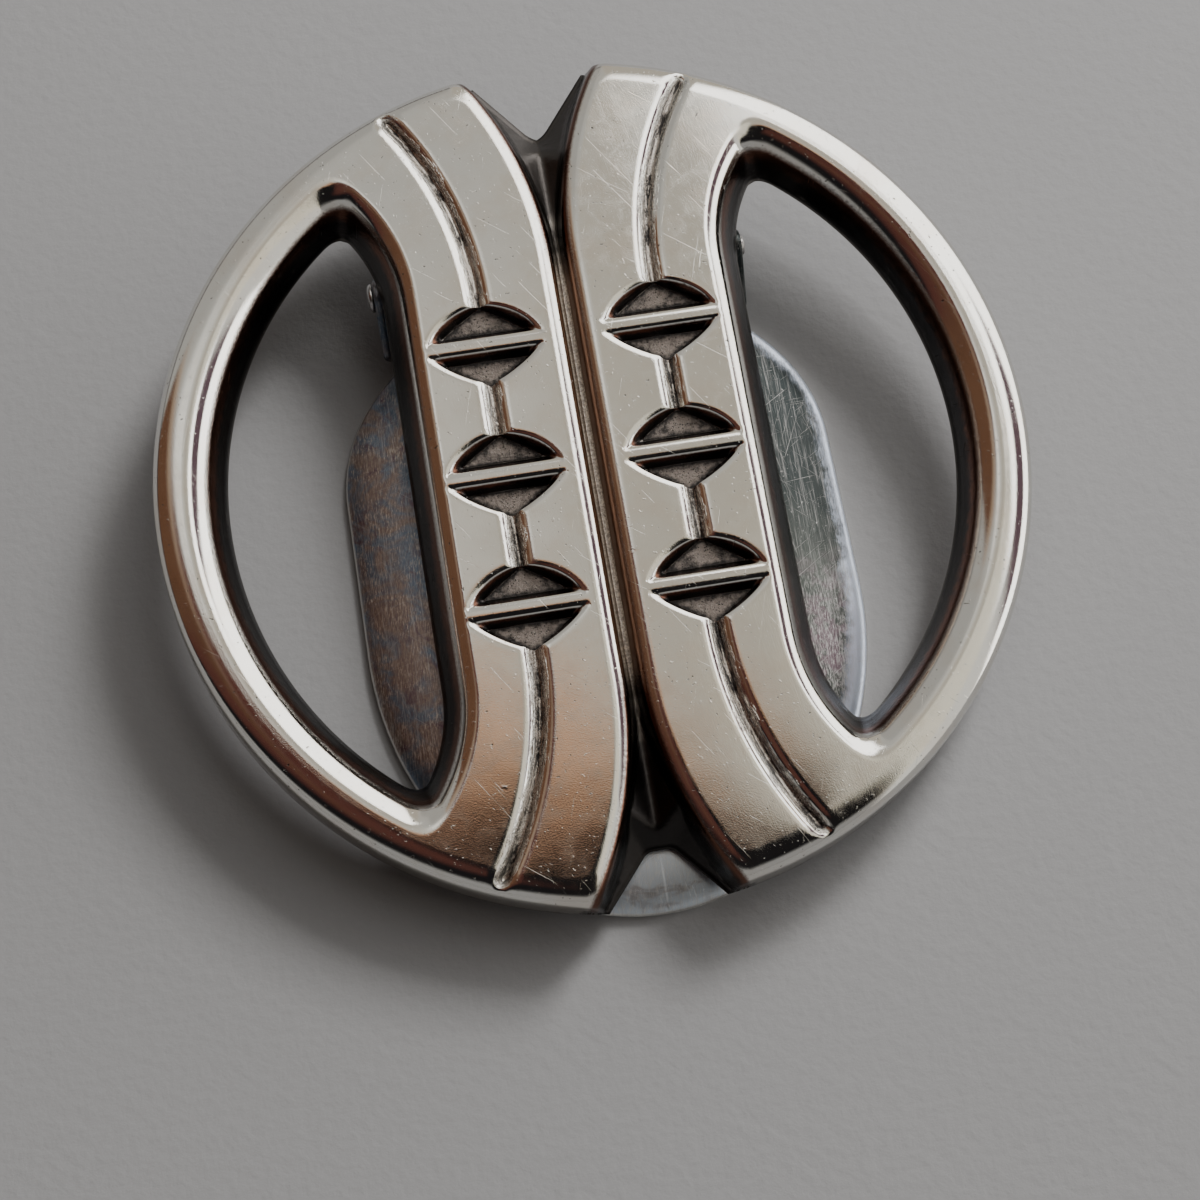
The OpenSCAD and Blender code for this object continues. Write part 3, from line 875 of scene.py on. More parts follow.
class Sheet:
    """Outline and heights of the clip plate, in millimetres with the fold of each ear still flat."""

    edge = 0.09
    rim_contours = (0.18, 0.27, 0.35, 0.42, 0.55, 0.7, 0.9, 1.15, 1.45)
    crown_contours = (1.8, 2.2, 2.7, 3.2, 3.8, 4.5, 5.4, 6.4)

    def __init__(self, sizes, pin, pin_radius, middle_y):
        self.s = sizes
        self.pin = (pin[0] - middle_y, pin[1])
        self.bore = pin_radius + sizes.bore_gap
        self.middle_y = middle_y
        self.under = sizes.crown - sizes.sheet
        self.bend_x = sizes.ears - sizes.sheet - sizes.fold
        self.bend_z = sizes.crown + sizes.fold
        self.neutral = sizes.fold + sizes.sheet / 2
        self.bend_end = self.bend_x + self.neutral * math.pi / 2

    def unfolded(self, z):
        """How far out in the flat pattern a height on an ear lies."""
        return self.bend_end + z - self.bend_z

    def inset(self, x, y):
        """How far inside the oval's rim a point lies."""
        s = self.s
        start = np.where(y < s.lower_start, s.lower_start, s.upper_start)
        length = np.where(y < s.lower_start, s.lower_length, s.upper_length)
        up = np.where((y < s.lower_start) | (y > s.upper_start), y - start, 0)

        def outside(inset):
            return ~((x / (s.half_width - inset)) ** 2 + (up / (length - inset)) ** 2 < 1)

        inset, _ = crossing(outside, np.zeros(np.shape(x)), np.full(np.shape(x), 10.5), 40)
        return inset

    def oval(self, inset, up_to):
        """The right half of an oval at an inset, from its tip up to a distance along Y."""
        s = self.s
        low = np.radians(np.concatenate([np.linspace(-90, -60, 60), np.linspace(-60, 0, 60)[1:]]))
        high = np.radians(np.linspace(0, 90, 70))
        width = s.half_width - inset

        def quarter(turn, start, length):
            return np.column_stack([width * np.cos(turn), start + (length - inset) * np.sin(turn)])

        gap = np.linspace(s.lower_start, s.upper_start, 24)[1:-1]
        side = np.column_stack([np.full(len(gap), width), gap])
        lower = quarter(low, s.lower_start, s.lower_length)
        whole = np.concatenate([lower, side, quarter(high, s.upper_start, s.upper_length)])
        under = whole[whole[:, 1] < up_to]
        over = whole[whole[:, 1] >= up_to]
        if len(over):
            a, b = under[-1], over[0]
            under = np.concatenate([under, [a + (b - a) * (up_to - a[1]) / (b[1] - a[1])]])
        return under

    def cut_edge(self):
        """The right half of the cut outline, from the neck round the ear to the tongue's end."""
        s = self.s
        pin_y, pin_z = self.pin
        slope = math.radians(35)
        foot, back = s.ear_foot, s.ear_foot + s.ear_width
        low = self.unfolded(s.crown + 0.3)
        turn = np.linspace(slope - math.pi / 2, math.pi / 2 - slope, 30)
        out = self.unfolded(pin_z)
        crown = [(out + s.ear_radius * math.cos(a), pin_y + s.ear_radius * math.sin(a)) for a in turn]
        root = 7.4
        corners = [(root, s.neck), (root, foot), (low, foot), *crown, (low, back)]
        corners += [(s.tongue_half + 1, back + 1.2), (s.tongue_half, s.tongue_end)]
        return corners

    def outline(self):
        """The whole flat pattern's outline, counter-clockwise from the oval's tip."""
        rim = self.oval(0, self.s.neck)
        cut = rounded_chain([rim[-1], *self.cut_edge(), (0, self.s.tongue_end)], 0.3, 0.1)
        right = np.concatenate([rim[:-1], cut])
        return np.concatenate([right, right[-2:0:-1] * (-1, 1)])

    def heights(self, x, y, from_cut):
        """Heights of the top and the under side over the table, before the ears are folded up."""
        s = self.s
        inset = self.inset(x, np.minimum(y, s.neck))
        share = np.clip(inset / s.roll, 0, 1)
        dome = 0.12 * ease(inset, s.roll - 0.5, s.half_width)
        top = s.rim + (s.crown - s.rim) * np.sqrt(1 - (1 - share) ** 2) + dome
        foot = 0.35
        curl = np.clip(1 - inset / foot, 0, 1)
        within = np.clip((inset - foot) / (s.roll - foot), 0, 1)
        curled, hollow = s.rim * (1 - np.sqrt(1 - curl**2)), self.under * np.sqrt(1 - (1 - within) ** 2)
        lower = np.where(inset < foot, curled, hollow)
        flat = ease(y, s.neck - 3.2, s.neck - 0.3) * (1 - ease(np.abs(x), 6.4, 8.6))
        flat = np.where(y > s.neck + 0.1, 1, flat)
        top = top + (s.crown - top) * flat
        lower = lower + (self.under - lower) * flat
        lower = np.minimum(lower, top)
        middle = (top + lower) / 2
        drop = self.edge * (1 - np.sqrt(1 - np.clip(1 - from_cut / self.edge, 0, 1) ** 2))
        return np.maximum(top - drop, middle), np.minimum(lower + drop, middle), inset

    def folded(self, x, y, z):
        """Where a point of the flat pattern goes when the ears are folded up."""
        side = np.sign(x)
        out = np.abs(x)
        bend = np.clip((out - self.bend_x) / self.neutral, 0, math.pi / 2)
        radius = self.neutral - (z - (self.under + self.s.sheet / 2))
        beyond = np.maximum(out - self.bend_end, 0)
        new_x = self.bend_x + radius * np.sin(bend)
        new_z = self.bend_z - radius * np.cos(bend) + beyond
        moved = (out > self.bend_x) & (y > self.s.neck)
        return np.column_stack(
            [np.where(moved, side * new_x, x), y + self.middle_y, np.where(moved, new_z, z)]
        )

    def shell(self):
        """Points and triangles of the folded sheet, with each point's distance from the rim."""
        s = self.s
        outline = self.outline()
        pin_out = self.unfolded(self.pin[1])
        bores = [ring((side * pin_out, self.pin[0]), self.bore, 36, True) for side in (1, -1)]
        loops = [outline, *bores]
        cut = outline[outline[:, 1] > s.neck - 0.01]
        chains = [np.concatenate([loop, loop[:1]]) for loop in loops]
        for inset in (0.3 * self.edge, self.edge):
            for loop in loops:
                row = loop + inward(loop) * inset
                chains.append(np.concatenate([row, row[:1]]))
        for inset in (*self.rim_contours, *self.crown_contours):
            half = self.oval(inset, s.neck - 0.12)
            chains += [half, half * (-1, 1)]
        for out in np.linspace(self.bend_x, self.bend_end, 8):
            row = np.linspace(s.ear_foot + 0.2, s.ear_foot + s.ear_width - 0.2, 20)
            chains += [np.column_stack([np.full(20, side * out), row]) for side in (1, -1)]
        spacing = 0.8
        across, upward = np.meshgrid(np.arange(-14, 14.1, spacing), np.arange(-25, 18.4, spacing))
        grid = np.stack([across, upward], axis=2).reshape(-1, 2)
        clear = outline_distance(grid[:, 0], grid[:, 1], outline) > 0.5
        clear &= self.inset(grid[:, 0], np.minimum(grid[:, 1], s.neck)) > 3.9

        flat, triangles, _ = triangulate(chains, between(outline, bores), grid[clear])
        x, y, triangles = used_points(flat, triangles)
        from_cut = np.full(len(x), FAR)
        across_neck = 4
        for loop in (cut, *bores):
            for start, end in zip(loop, np.roll(loop, -1, axis=0)):
                if loop is cut and math.dist(start, end) > across_neck:
                    continue
                from_cut = np.minimum(from_cut, edge_distance(x, y, start, end))
        top, lower, inset = self.heights(x, y, from_cut)
        points = np.concatenate([self.folded(x, y, top), self.folded(x, y, lower)])
        count = len(x)
        faces = [triangles, triangles[:, ::-1] + count]
        for loop in rim_loops(triangles):
            above = np.array(loop)
            faces += strip(above, above + count)
        inset = np.where(y > s.neck, np.maximum(inset, 3), inset)
        return points, np.concatenate(faces), np.concatenate([inset, inset])


# Shader maths


class Sock:
    """A shader value that takes part in arithmetic like a number."""

    def __init__(self, tree, socket):
        self.tree = tree
        self.socket = socket

    def maths(self, operation, *values):
        node = self.tree.nodes.new("ShaderNodeMath")
        node.operation = operation
        for slot, value in zip(node.inputs, values):
            join(self.tree, slot, value)
        return Sock(self.tree, node.outputs[0])

    def __add__(self, other):
        return self.maths("ADD", self, other)

    __radd__ = __add__

    def __sub__(self, other):
        return self.maths("SUBTRACT", self, other)

    def __rsub__(self, other):
        return self.maths("SUBTRACT", other, self)

    def __mul__(self, other):
        return self.maths("MULTIPLY", self, other)

    __rmul__ = __mul__

    def __truediv__(self, other):
        return self.maths("DIVIDE", self, other)

    def __abs__(self):
        return self.maths("ABSOLUTE", self)

    def largest(self, other):
        return self.maths("MAXIMUM", self, other)


def join(tree, slot, value):
    """Links a shader value to an input, or sets the input to a constant."""
    if isinstance(value, Sock):
        tree.links.new(value.socket, slot)
    elif slot.type == "RGBA":
        slot.default_value = (*value, 1)
    else:
        slot.default_value = value


def scaled(colour, share):
    """A colour times a number."""
    return tuple(share * part for part in colour)


class Graph:
    """Builds the nodes of a material or of the world."""

    def __init__(self, tree):
        self.tree = tree
        tree.nodes.clear()

    def node(self, kind, output, settings=None, **inputs):
        """One node of any kind: its settings, its inputs by name, and the output that is wanted."""
        node = self.tree.nodes.new(kind)
        for key, value in (settings or {}).items():
            setattr(node, key, value)
        for key, value in inputs.items():
            join(self.tree, node.inputs[int(key[1:]) if key[0] == "_" else key.replace("_", " ")], value)
        return Sock(self.tree, node.outputs[output])

    def axes(self, vector):
        """The three parts of a vector."""
        node = self.tree.nodes.new("ShaderNodeSeparateXYZ")
        join(self.tree, node.inputs[0], vector)
        return [Sock(self.tree, out) for out in node.outputs]

    def vector(self, x, y, z):
        return self.node("ShaderNodeCombineXYZ", 0, X=x, Y=y, Z=z)

    def noise(self, vector, scale, detail=2.0, rough=0.5, bend=0.0):
        inputs = {"Vector": vector, "Scale": scale, "Detail": detail, "Roughness": rough, "Distortion": bend}
        return self.node("ShaderNodeTexNoise", 0, **inputs)

    def attribute(self, name):
        """A share that the mesh carries."""
        return self.node("ShaderNodeAttribute", "Fac", {"attribute_name": name})

    def step(self, value, low, high):
        """0 below low, 1 above high, and a smooth step between."""
        smooth = {"interpolation_type": "SMOOTHSTEP"}
        return self.node("ShaderNodeMapRange", 0, smooth, Value=value, From_Min=low, From_Max=high)

    def fall(self, value, low, high):
        """1 below low, 0 above high, and a smooth step between."""
        return 1 - self.step(value, low, high)

    def mix(self, factor, first, second):
        """A colour between two colours."""
        node = self.tree.nodes.new("ShaderNodeMix")
        node.data_type = "RGBA"
        join(self.tree, node.inputs[0], factor)
        join(self.tree, node.inputs[6], first)
        join(self.tree, node.inputs[7], second)
        return Sock(self.tree, node.outputs[2])

    def bump(self, height, depth, normal=None):
        """A bump whose full height is given in millimetres."""
        inputs = {"Height": height, "Distance": depth * MM}
        if normal is not None:
            inputs["Normal"] = normal
        return self.node("ShaderNodeBump", 0, **inputs)

    def principled(self, **inputs):
        shader = self.node("ShaderNodeBsdfPrincipled", 0, **inputs)
        output = self.tree.nodes.new("ShaderNodeOutputMaterial")
        join(self.tree, output.inputs["Surface"], shader)

    def place(self):
        """Object coordinates in millimetres."""
        coordinates = self.node("ShaderNodeTexCoord", "Object")
        return self.node("ShaderNodeVectorMath", 0, {"operation": "SCALE"}, _0=coordinates, Scale=1 / MM)

    def turned(self, vector, degrees, stretch):
        """A vector turned about Z and then stretched, for streaks at that angle to X."""
        turned = self.node(
            "ShaderNodeVectorRotate", 0, {"rotation_type": "Z_AXIS"},
            Vector=vector, Angle=math.radians(-degrees),
        )
        return self.node("ShaderNodeVectorMath", 0, {"operation": "MULTIPLY"}, _0=turned, _1=stretch)

    def scratches(self, vector, degrees, long, fine, low, high):
        """Thin broken lines in one direction."""
        streaks = self.noise(self.turned(vector, degrees, (long, fine, 1)), 1.0, 1.0, 0.4, 0.25)
        return self.step(streaks, low, high)


def material(name):
    """A new material and the graph of its nodes."""
    made = bpy.data.materials.new(name)
    made.use_nodes = True
    return made, Graph(made.node_tree)


def plating_material(look):
    """Polished plating with fine wear, dark rough floors where the engraving is, and painted shade,
    reflections and highlights on the inner walls and the web.
    """
    made, g = material("aged_plating")
    at = g.place()
    x, y, _ = g.axes(at)
    facing = g.axes(g.node("ShaderNodeTexCoord", "Normal"))[2]
    behind = g.step(facing, -0.2, -0.6)
    wall, floor, line, web = (g.attribute(name) for name in ("wall", "floor", "line", "web"))

    patches = g.step(g.noise(at, 0.35, 4, 0.6), 0.42, 0.7)
    smudge = g.step(g.noise(at, 0.9, 3, 0.55, 0.6), 0.4, 0.72)
    specks = g.step(g.noise(at, 5.5, 1, 0.3), 0.745, 0.775)
    elsewhere = g.node("ShaderNodeVectorMath", 0, _0=at, _1=(9.0, 4.0, 2.0))
    dots = g.step(g.noise(elsewhere, 4.5, 1, 0.3), 0.74, 0.77)
    fine = g.scratches(at, 124, 0.16, 12, 0.755, 0.785)
    fine = fine.largest(g.scratches(at, -37, 0.14, 11, 0.765, 0.795))
    fine = fine.largest(g.scratches(at, 73, 0.2, 13, 0.765, 0.795))
    hair = g.noise(g.turned(at, 98, (0.3, 22, 1)), 1.0, 3, 0.6)
    grit = g.noise(at, 7.0, 4, 0.7)
    mottle = g.noise(at, 2.2, 5, 0.65)
    along = g.noise(g.vector((line + wall) * 3.2, y * 0.6, x * 0.35), 1.0, 4, 0.65)

    polished = g.mix(patches * 0.4, look.plating, look.plating_warm)
    polished = g.mix(specks * 0.7, polished, look.oxide_and_shade)
    # Painted reflection: the upper part of each inner wall is painted brown and its foot dark, with light
    # streaks along it.
    deep = g.mix(g.step(wall + (mottle - 0.5) * 0.5, 0.25, 0.55), look.wall_brown, look.oxide_and_shade)
    deep = g.mix(g.step(along, 0.6, 0.72) * 0.2, deep, look.oxide_light)
    # Painted reflection: in the middle groove the wall that faces left is painted light brown, and the wall
    # that faces right keeps the polished plating.
    middle = g.fall(abs(x), 1.6, 1.9) * g.fall(abs(y), 11, 14)
    deep = g.mix(middle, deep, look.painted_groove_reflection)
    # Painted shade: the walls mask puts the dark colour on the inner walls of the openings and beside the
    # groove, standing in for their shade and dark reflections, together with real oxide in these hollows.
    walls = g.step(wall + (grit - 0.5) * 0.12, 0.04, 0.2)
    walls = walls * (1 - middle * g.fall(x, -0.1, 0.1))
    colour = g.mix(walls, polished, deep)
    # Painted highlight: a thin light line along the foot of the walls, where a ridge would catch the light.
    edges = g.step(wall, 0.9, 0.97) * g.fall(floor, 0.05, 0.1) * (1 - middle)
    colour = g.mix(edges * 0.35, colour, look.line)
    stained = g.mix(g.step(along + (grit - 0.5) * 0.3, 0.42, 0.6), look.oxide_and_shade, look.line)
    lined = g.step(line + (along - 0.5) * 1.4, 0.25, 0.75)
    colour = g.mix(lined, colour, stained)
    bare = g.mix(g.step(floor + (mottle - 0.5) * 1.1, 0.32, 0.8), look.oxide_and_shade, look.oxide_light)
    bare = g.mix(g.step(grit, 0.5, 0.7) * g.step(floor, 0.35, 0.75) * 0.55, bare, look.line)
    floors = g.step(floor + (grit - 0.5) * 0.15, 0.15, 0.3)
    colour = g.mix(floors, colour, bare)
    groove = web * g.fall(abs(y), 13, 17)
    dull = g.mix(g.step(along, 0.4, 0.62), look.web, look.line)
    dull = g.mix(middle, dull, g.mix(g.step(grit, 0.4, 0.62), look.oxide_light, look.plating_warm))
    # Painted reflection: the web is painted darker still towards the lower notch, where its slopes mirror
    # the dark front.
    painted_web_reflection = g.mix(g.step(y, -14, -8), look.oxide_and_shade, look.web)
    colour = g.mix(web, colour, g.mix(groove, painted_web_reflection, dull))

    gloss = 0.07 + smudge * 0.06 + fine * 0.1 + patches * 0.03 + behind * 0.22
    gloss = gloss + walls * (0.12 + middle * 0.12) + lined * 0.14 + web * 0.1 + groove * 0.2
    shine = g.node("ShaderNodeMix", 0, {"data_type": "FLOAT"}, _0=floors, _2=gloss, _3=0.3 + grit * 0.3)
    wave = g.bump(g.noise(at, 0.3, 1, 0.4), 0.009)
    peel = g.bump(g.noise(at, 13.0, 2, 0.6), 0.0019, wave)
    worn = g.bump(hair, 0.0012, peel)
    lines = g.bump(dots * 3.0 - fine - specks * 3.0, 0.0015, worn)
    cast = g.bump(mottle * (behind + 0.5 * groove), 0.03, lines)
    streaks = g.bump(along * (lined + 0.3 * walls + 0.3 * web), 0.07, cast)
    pitted = g.bump(grit * (floors + 0.2 * lined + 0.1 * walls), 0.09, streaks)
    g.principled(
        Base_Color=colour, Metallic=1 - floors * 0.35, Roughness=shine, Normal=pitted, Specular_IOR_Level=0.5
    )
    return made


def plate_material(look):
    """Brushed and tarnished sheet with scratches, and a bright painted reflection along its right rim."""
    made, g = material("tarnished_sheet")
    at = g.place()
    inset = g.attribute("inset")
    x, y, _ = g.axes(at)
    drift = g.noise(at, 0.45, 4, 0.6, 0.8)
    cloud = g.noise(at, 0.22, 3, 0.55, 0.4)
    brushed = g.noise(g.turned(at, 90, (0.35, 9, 1)), 1.0, 4, 0.65)
    hair = g.noise(g.turned(at, 87, (0.5, 30, 1)), 1.0, 2, 0.6)

    left = g.fall(x + (cloud - 0.5) * 4, -4, 3)
    tip = g.fall(y + (cloud - 0.5) * 3, -22.5, -17.5)
    mottled = g.mix(g.step(drift, 0.4, 0.62), look.tarnish_brown, look.tarnish_blue)
    mottled = g.mix(g.step(g.noise(at, 0.8, 3, 0.6, 1.0), 0.55, 0.72), mottled, look.tarnish_plum)
    grain = g.noise(g.turned(at, 84, (2.4, 13, 2)), 1.0, 4, 0.75)
    mottled = g.mix(g.fall(grain, 0.38, 0.5) * 0.45, mottled, look.tarnish_plum)
    light = g.step(g.noise(at, 0.6, 4, 0.65), 0.42, 0.62)
    mottled = g.mix(g.step(grain, 0.5, 0.62) * (0.25 + 0.6 * light), mottled, look.tarnish_light)
    mottled = g.mix(g.step(brushed, 0.55, 0.7) * 0.25, mottled, look.steel)
    # Painted shade: the left tarnish turns darker blue inwards from about 10 mm left of the middle, next to
    # the casting.
    shaded = g.step(x + 0.12 * y + (drift - 0.5) * 5, -10.6, -9.4)
    mottled = g.mix(shaded * 0.6, mottled, scaled(look.tarnish_blue, 0.45))
    green = g.mix(g.step(cloud, 0.35, 0.7), look.green_dark, look.green)
    lower = g.fall(y + (drift - 0.5) * 6, -12, -4)
    green = g.mix(lower * g.step(g.noise(at, 1.1, 3, 0.6), 0.45, 0.6) * 0.7, green, look.tarnish_plum)
    green = g.mix(lower * g.step(grain, 0.48, 0.6) * 0.6, green, look.steel)
    # Partly painted reflection: the tip is painted light bluish grey, with rubbed wear.
    grey = g.mix(g.step(drift, 0.5, 0.7) * 0.7, look.tip_wear_and_sheen, look.tarnish_brown)
    grey = g.mix(g.step(grain, 0.5, 0.62) * 0.5, grey, look.plating)
    colour = g.mix(left, green, mottled)
    right = g.step(x, 3, 8)
    # Painted reflection: the bright band along the right rim stands in for the window mirrored by the curled
    # rim.
    edge = g.fall(inset + (drift - 0.5) * 1.4 + (grain - 0.5) * 1.2 - lower * 0.5, 0.25, 1.15)
    colour = g.mix(edge * right * 0.9, colour, look.rim_blue)
    green_top = right * g.step(y, -8, -1) * (1 - edge)
    colour = g.mix(green_top * 0.7, colour, look.green_deep)
    colour = g.mix(tip, colour, grey)
    # Painted highlight: a thin light line of plating colour along the cut edge.
    rim = g.fall(inset, 0.06, 0.16)
    colour = g.mix(rim * 0.8, colour, look.plating)

    cuts = g.scratches(at, 33, 0.3, 24, 0.71, 0.74)
    directions = ((-40, 0.35, 26), (64, 0.25, 28), (8, 0.3, 24), (-74, 0.3, 26), (101, 0.4, 25))
    for degrees, long, thin in directions:
        cuts = cuts.largest(g.scratches(at, degrees, long, thin, 0.72, 0.75))
    flecks = g.step(g.noise(at, 5.0, 3, 0.65), 0.66, 0.7)
    colour = g.mix(cuts.largest(flecks) * (0.55 - left * 0.2), colour, look.steel)
    colour = g.mix(g.step(brushed + (hair - 0.5) * 0.6, 0.5, 0.75) * 0.35, colour, look.steel)

    gloss = 0.24 + brushed * 0.14 + left * 0.08 + tip * 0.1 - rim * 0.1
    lengthwise = g.bump(brushed + hair * 0.5, 0.0025)
    dents = g.bump(g.noise(at, 0.6, 2, 0.5), 0.012, lengthwise)
    g.principled(Base_Color=colour, Metallic=0.85, Roughness=gloss, Normal=g.bump(cuts * -1.0, 0.004, dents))
    return made


def pin_material(look):
    """Drawn steel with fine turning marks."""
    made, g = material("drawn_steel")
    at = g.place()
    x, _, _ = g.axes(at)
    marks = g.noise(g.vector(x * 9, 0.0, 0.0), 1.0, 3, 0.6)
    stain = g.step(g.noise(at, 1.2, 4, 0.6), 0.45, 0.7)
    colour = g.mix(stain * 0.6, look.pin_steel, look.tarnish_brown)
    g.principled(Base_Color=colour, Metallic=1.0, Roughness=0.22 + marks * 0.15, Normal=g.bump(marks, 0.004))
    return made


def grain_material(look):
    """Dark lumps with rubbed tops."""
    made, g = material("casting_grains")
    at = g.place()
    tone = g.noise(at, 3.0, 2, 0.5)
    colour = g.mix(g.step(tone, 0.5, 0.68), look.oxide_and_shade, look.oxide_light)
    g.principled(Base_Color=colour, Metallic=0.75, Roughness=0.38 + tone * 0.2)
    return made


def floor_material(look):
    """Plain pale floor with a faint grain."""
    made, g = material("pale_floor")
    at = g.place()
    grain = g.noise(at, 1.3, 4, 0.6)
    colour = g.mix((grain - 0.5) * 0.25 + 0.1, look.floor, scaled(look.floor, 0.8))
    g.principled(Base_Color=colour, Roughness=0.75, Normal=g.bump(grain, 0.05))
    return made


def report(text):
    """Says in the console what a step made."""
    print("scarf clip:", text)


def finish_piece(piece, body, made, node=None):
    """Gives a piece its material and its place among the bodies."""
    piece.data.materials.clear()
    piece.data.materials.append(made)
    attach(piece, body)
    if node:
        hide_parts(node)


def lug_parts(plate, pin):
    """The two hinge lugs on the back of the casting, in the ornament's plane."""
    lean, middle_y, rise = back_plane()
    along, up = hinge_place()
    away = Vector((0, along - middle_y / MM, up - rise / MM))
    away.rotate(Matrix.Rotation(-lean, 3, "X"))
    pin_y, drop = away.y, -away.z
    radius, root = 1.02, 0.25
    turn = np.linspace(math.pi, 2 * math.pi, 24)
    corners = [(radius * math.cos(a), radius * math.sin(a)) for a in turn]
    foot = radius + 0.4
    flare = [(radius, drop - 0.75), (radius + 0.1, drop - 0.3), (foot, drop), (foot, drop + root)]
    corners += flare + [(-x, y) for x, y in flare[::-1]]
    outline = rounded_outline(corners, 0.12, 0.1)
    bore = ring((0, 0), pin.shaft_radius + 0.02, 40, True)
    half_width, gap = 0.85, 0.2
    slab, faces, flat = prism([outline, bore], half_width, 0.04)
    parts = []
    centre_x = plate.ears - plate.sheet - gap - half_width
    for side in (1, -1):
        placed = np.column_stack([slab[:, 2] + side * centre_x, slab[:, 0] + pin_y, slab[:, 1] - drop])
        parts.append((placed, faces, flat))
    return parts


class CLIP_OT_ornament(bpy.types.Operator):
    """Builds the plated, engraved casting with its two hinge lugs"""

    bl_idname = "clip.ornament"
    bl_label = "Ornament"

    def execute(self, context):
        scene = context.scene
        sizes = millimetres(scene.clip_casting)
        casting = Casting(sizes, millimetres(scene.clip_engraving))
        points, faces, flat = casting.shell()
        for part in lug_parts(millimetres(scene.clip_plate), millimetres(scene.clip_pin)):
            lug, lug_faces, lug_flat = part
            faces = np.concatenate([faces, lug_faces + len(points)])
            points = np.concatenate([points, np.column_stack([lug, np.zeros((len(lug), 4))])])
            flat = np.concatenate([flat, lug_flat])
        marks = dict(zip(("wall", "floor", "line", "web"), points[:, 3:].T))
        piece = mesh_object("ornament_plated", points[:, :3], faces, ornament_matrix(), marks, flat)
        report(f"ornament has {len(faces)} triangles")
        finish_piece(piece, "front", plating_material(scene.clip_finish), "ornament")
        return {"FINISHED"}


class CLIP_OT_grains(bpy.types.Operator):
    """Scatters casting lumps over the rough floors with Geometry Nodes"""

    bl_idname = "clip.grains"
    bl_label = "Casting grains"

    def execute(self, context):
        scene = context.scene
        cuts = scene.clip_engraving
        casting = bpy.data.objects["ornament_plated"]
        carrier = bpy.data.objects.new("grain_carrier", casting.data.copy())
        scene.collection.objects.link(carrier)
        made = grain_material(scene.clip_finish)
        modifier = carrier.modifiers.new("grains", "NODES")
        modifier.node_group = grain_nodes(made)
        values = {"Density": cuts.grains_per_mm2 / MM**2, "Size": cuts.grain, "Seed": cuts.seed}
        for item in modifier.node_group.interface.items_tree:
            if item.item_type == "SOCKET" and item.name in values:
                modifier[item.identifier] = values[item.name]
        carrier.update_tag()
        baked = baked_mesh(carrier, "casting_grains")
        report(f"grains have {len(baked.data.polygons)} faces")
        finish_piece(baked, "front", made)
        return {"FINISHED"}


def baked_mesh(carrier, name):
    """The result of a carrier's modifiers as a plain object; the carrier goes away."""
    bpy.context.view_layer.update()
    settled = carrier.evaluated_get(bpy.context.evaluated_depsgraph_get())
    mesh = bpy.data.meshes.new_from_object(settled)
    mesh.name = name
    carrier.modifiers.clear()
    bpy.data.objects.remove(carrier)
    baked = bpy.data.objects.new(name, mesh)
    bpy.context.scene.collection.objects.link(baked)
    return baked


def grain_nodes(made):
    """Node group that scatters small lumps where the mesh is marked as rough."""
    group = bpy.data.node_groups.new("casting_grains", "GeometryNodeTree")
    for name, kind in (("Geometry", "Geometry"), ("Density", "Float"), ("Size", "Float"), ("Seed", "Int")):
        group.interface.new_socket(name, in_out="INPUT", socket_type="NodeSocket" + kind)
    group.interface.new_socket("Geometry", in_out="OUTPUT", socket_type="NodeSocketGeometry")

    def add(kind, settings=None, links=None, **inputs):
        node = group.nodes.new(kind)
        for key, value in (settings or {}).items():
            setattr(node, key, value)
        for key, value in inputs.items():
            node.inputs[key.replace("_", " ")].default_value = value
        for slot, source in (links or {}).items():
            group.links.new(source, node.inputs[slot])
        return node

    start = add("NodeGroupInput")
    floor = add("GeometryNodeInputNamedAttribute", {"data_type": "FLOAT"}, Name="floor")
    marked = add("ShaderNodeMapRange", None, {"Value": floor.outputs[0]}, From_Min=0.25, From_Max=0.7)
    thick = add(
        "ShaderNodeMath", {"operation": "MULTIPLY"}, {0: marked.outputs[0], 1: start.outputs["Density"]}
    )
    spread = add(
        "GeometryNodeDistributePointsOnFaces",
        {"distribute_method": "RANDOM"},
        {0: start.outputs["Geometry"], "Density": thick.outputs[0], "Seed": start.outputs["Seed"]},
    )
    lump = add("GeometryNodeMeshIcoSphere", None, None, Radius=0.5, Subdivisions=1)
    low, high = (0.3, 0.3, 0.2), (1.0, 1.0, 0.55)
    extent = add("FunctionNodeRandomValue", {"data_type": "FLOAT_VECTOR"}, {"Seed": start.outputs["Seed"]})
    extent.inputs[0].default_value = low
    extent.inputs[1].default_value = high
    scale = add("ShaderNodeVectorMath", {"operation": "SCALE"}, {0: extent.outputs[0]})
    group.links.new(start.outputs["Size"], scale.inputs["Scale"])
    place = add(
        "GeometryNodeInstanceOnPoints",
        None,
        {
            "Points": spread.outputs["Points"],
            "Instance": lump.outputs["Mesh"],
            "Rotation": spread.outputs["Rotation"],
            "Scale": scale.outputs[0],
        },
    )
    real = add("GeometryNodeRealizeInstances", None, {0: place.outputs[0]})
    smooth = add("GeometryNodeSetShadeSmooth", None, {0: real.outputs[0]})
    finish = add("GeometryNodeSetMaterial", None, {0: smooth.outputs[0]}, Material=made)
    end = group.nodes.new("NodeGroupOutput")
    group.links.new(finish.outputs[0], end.inputs[0])
    return group


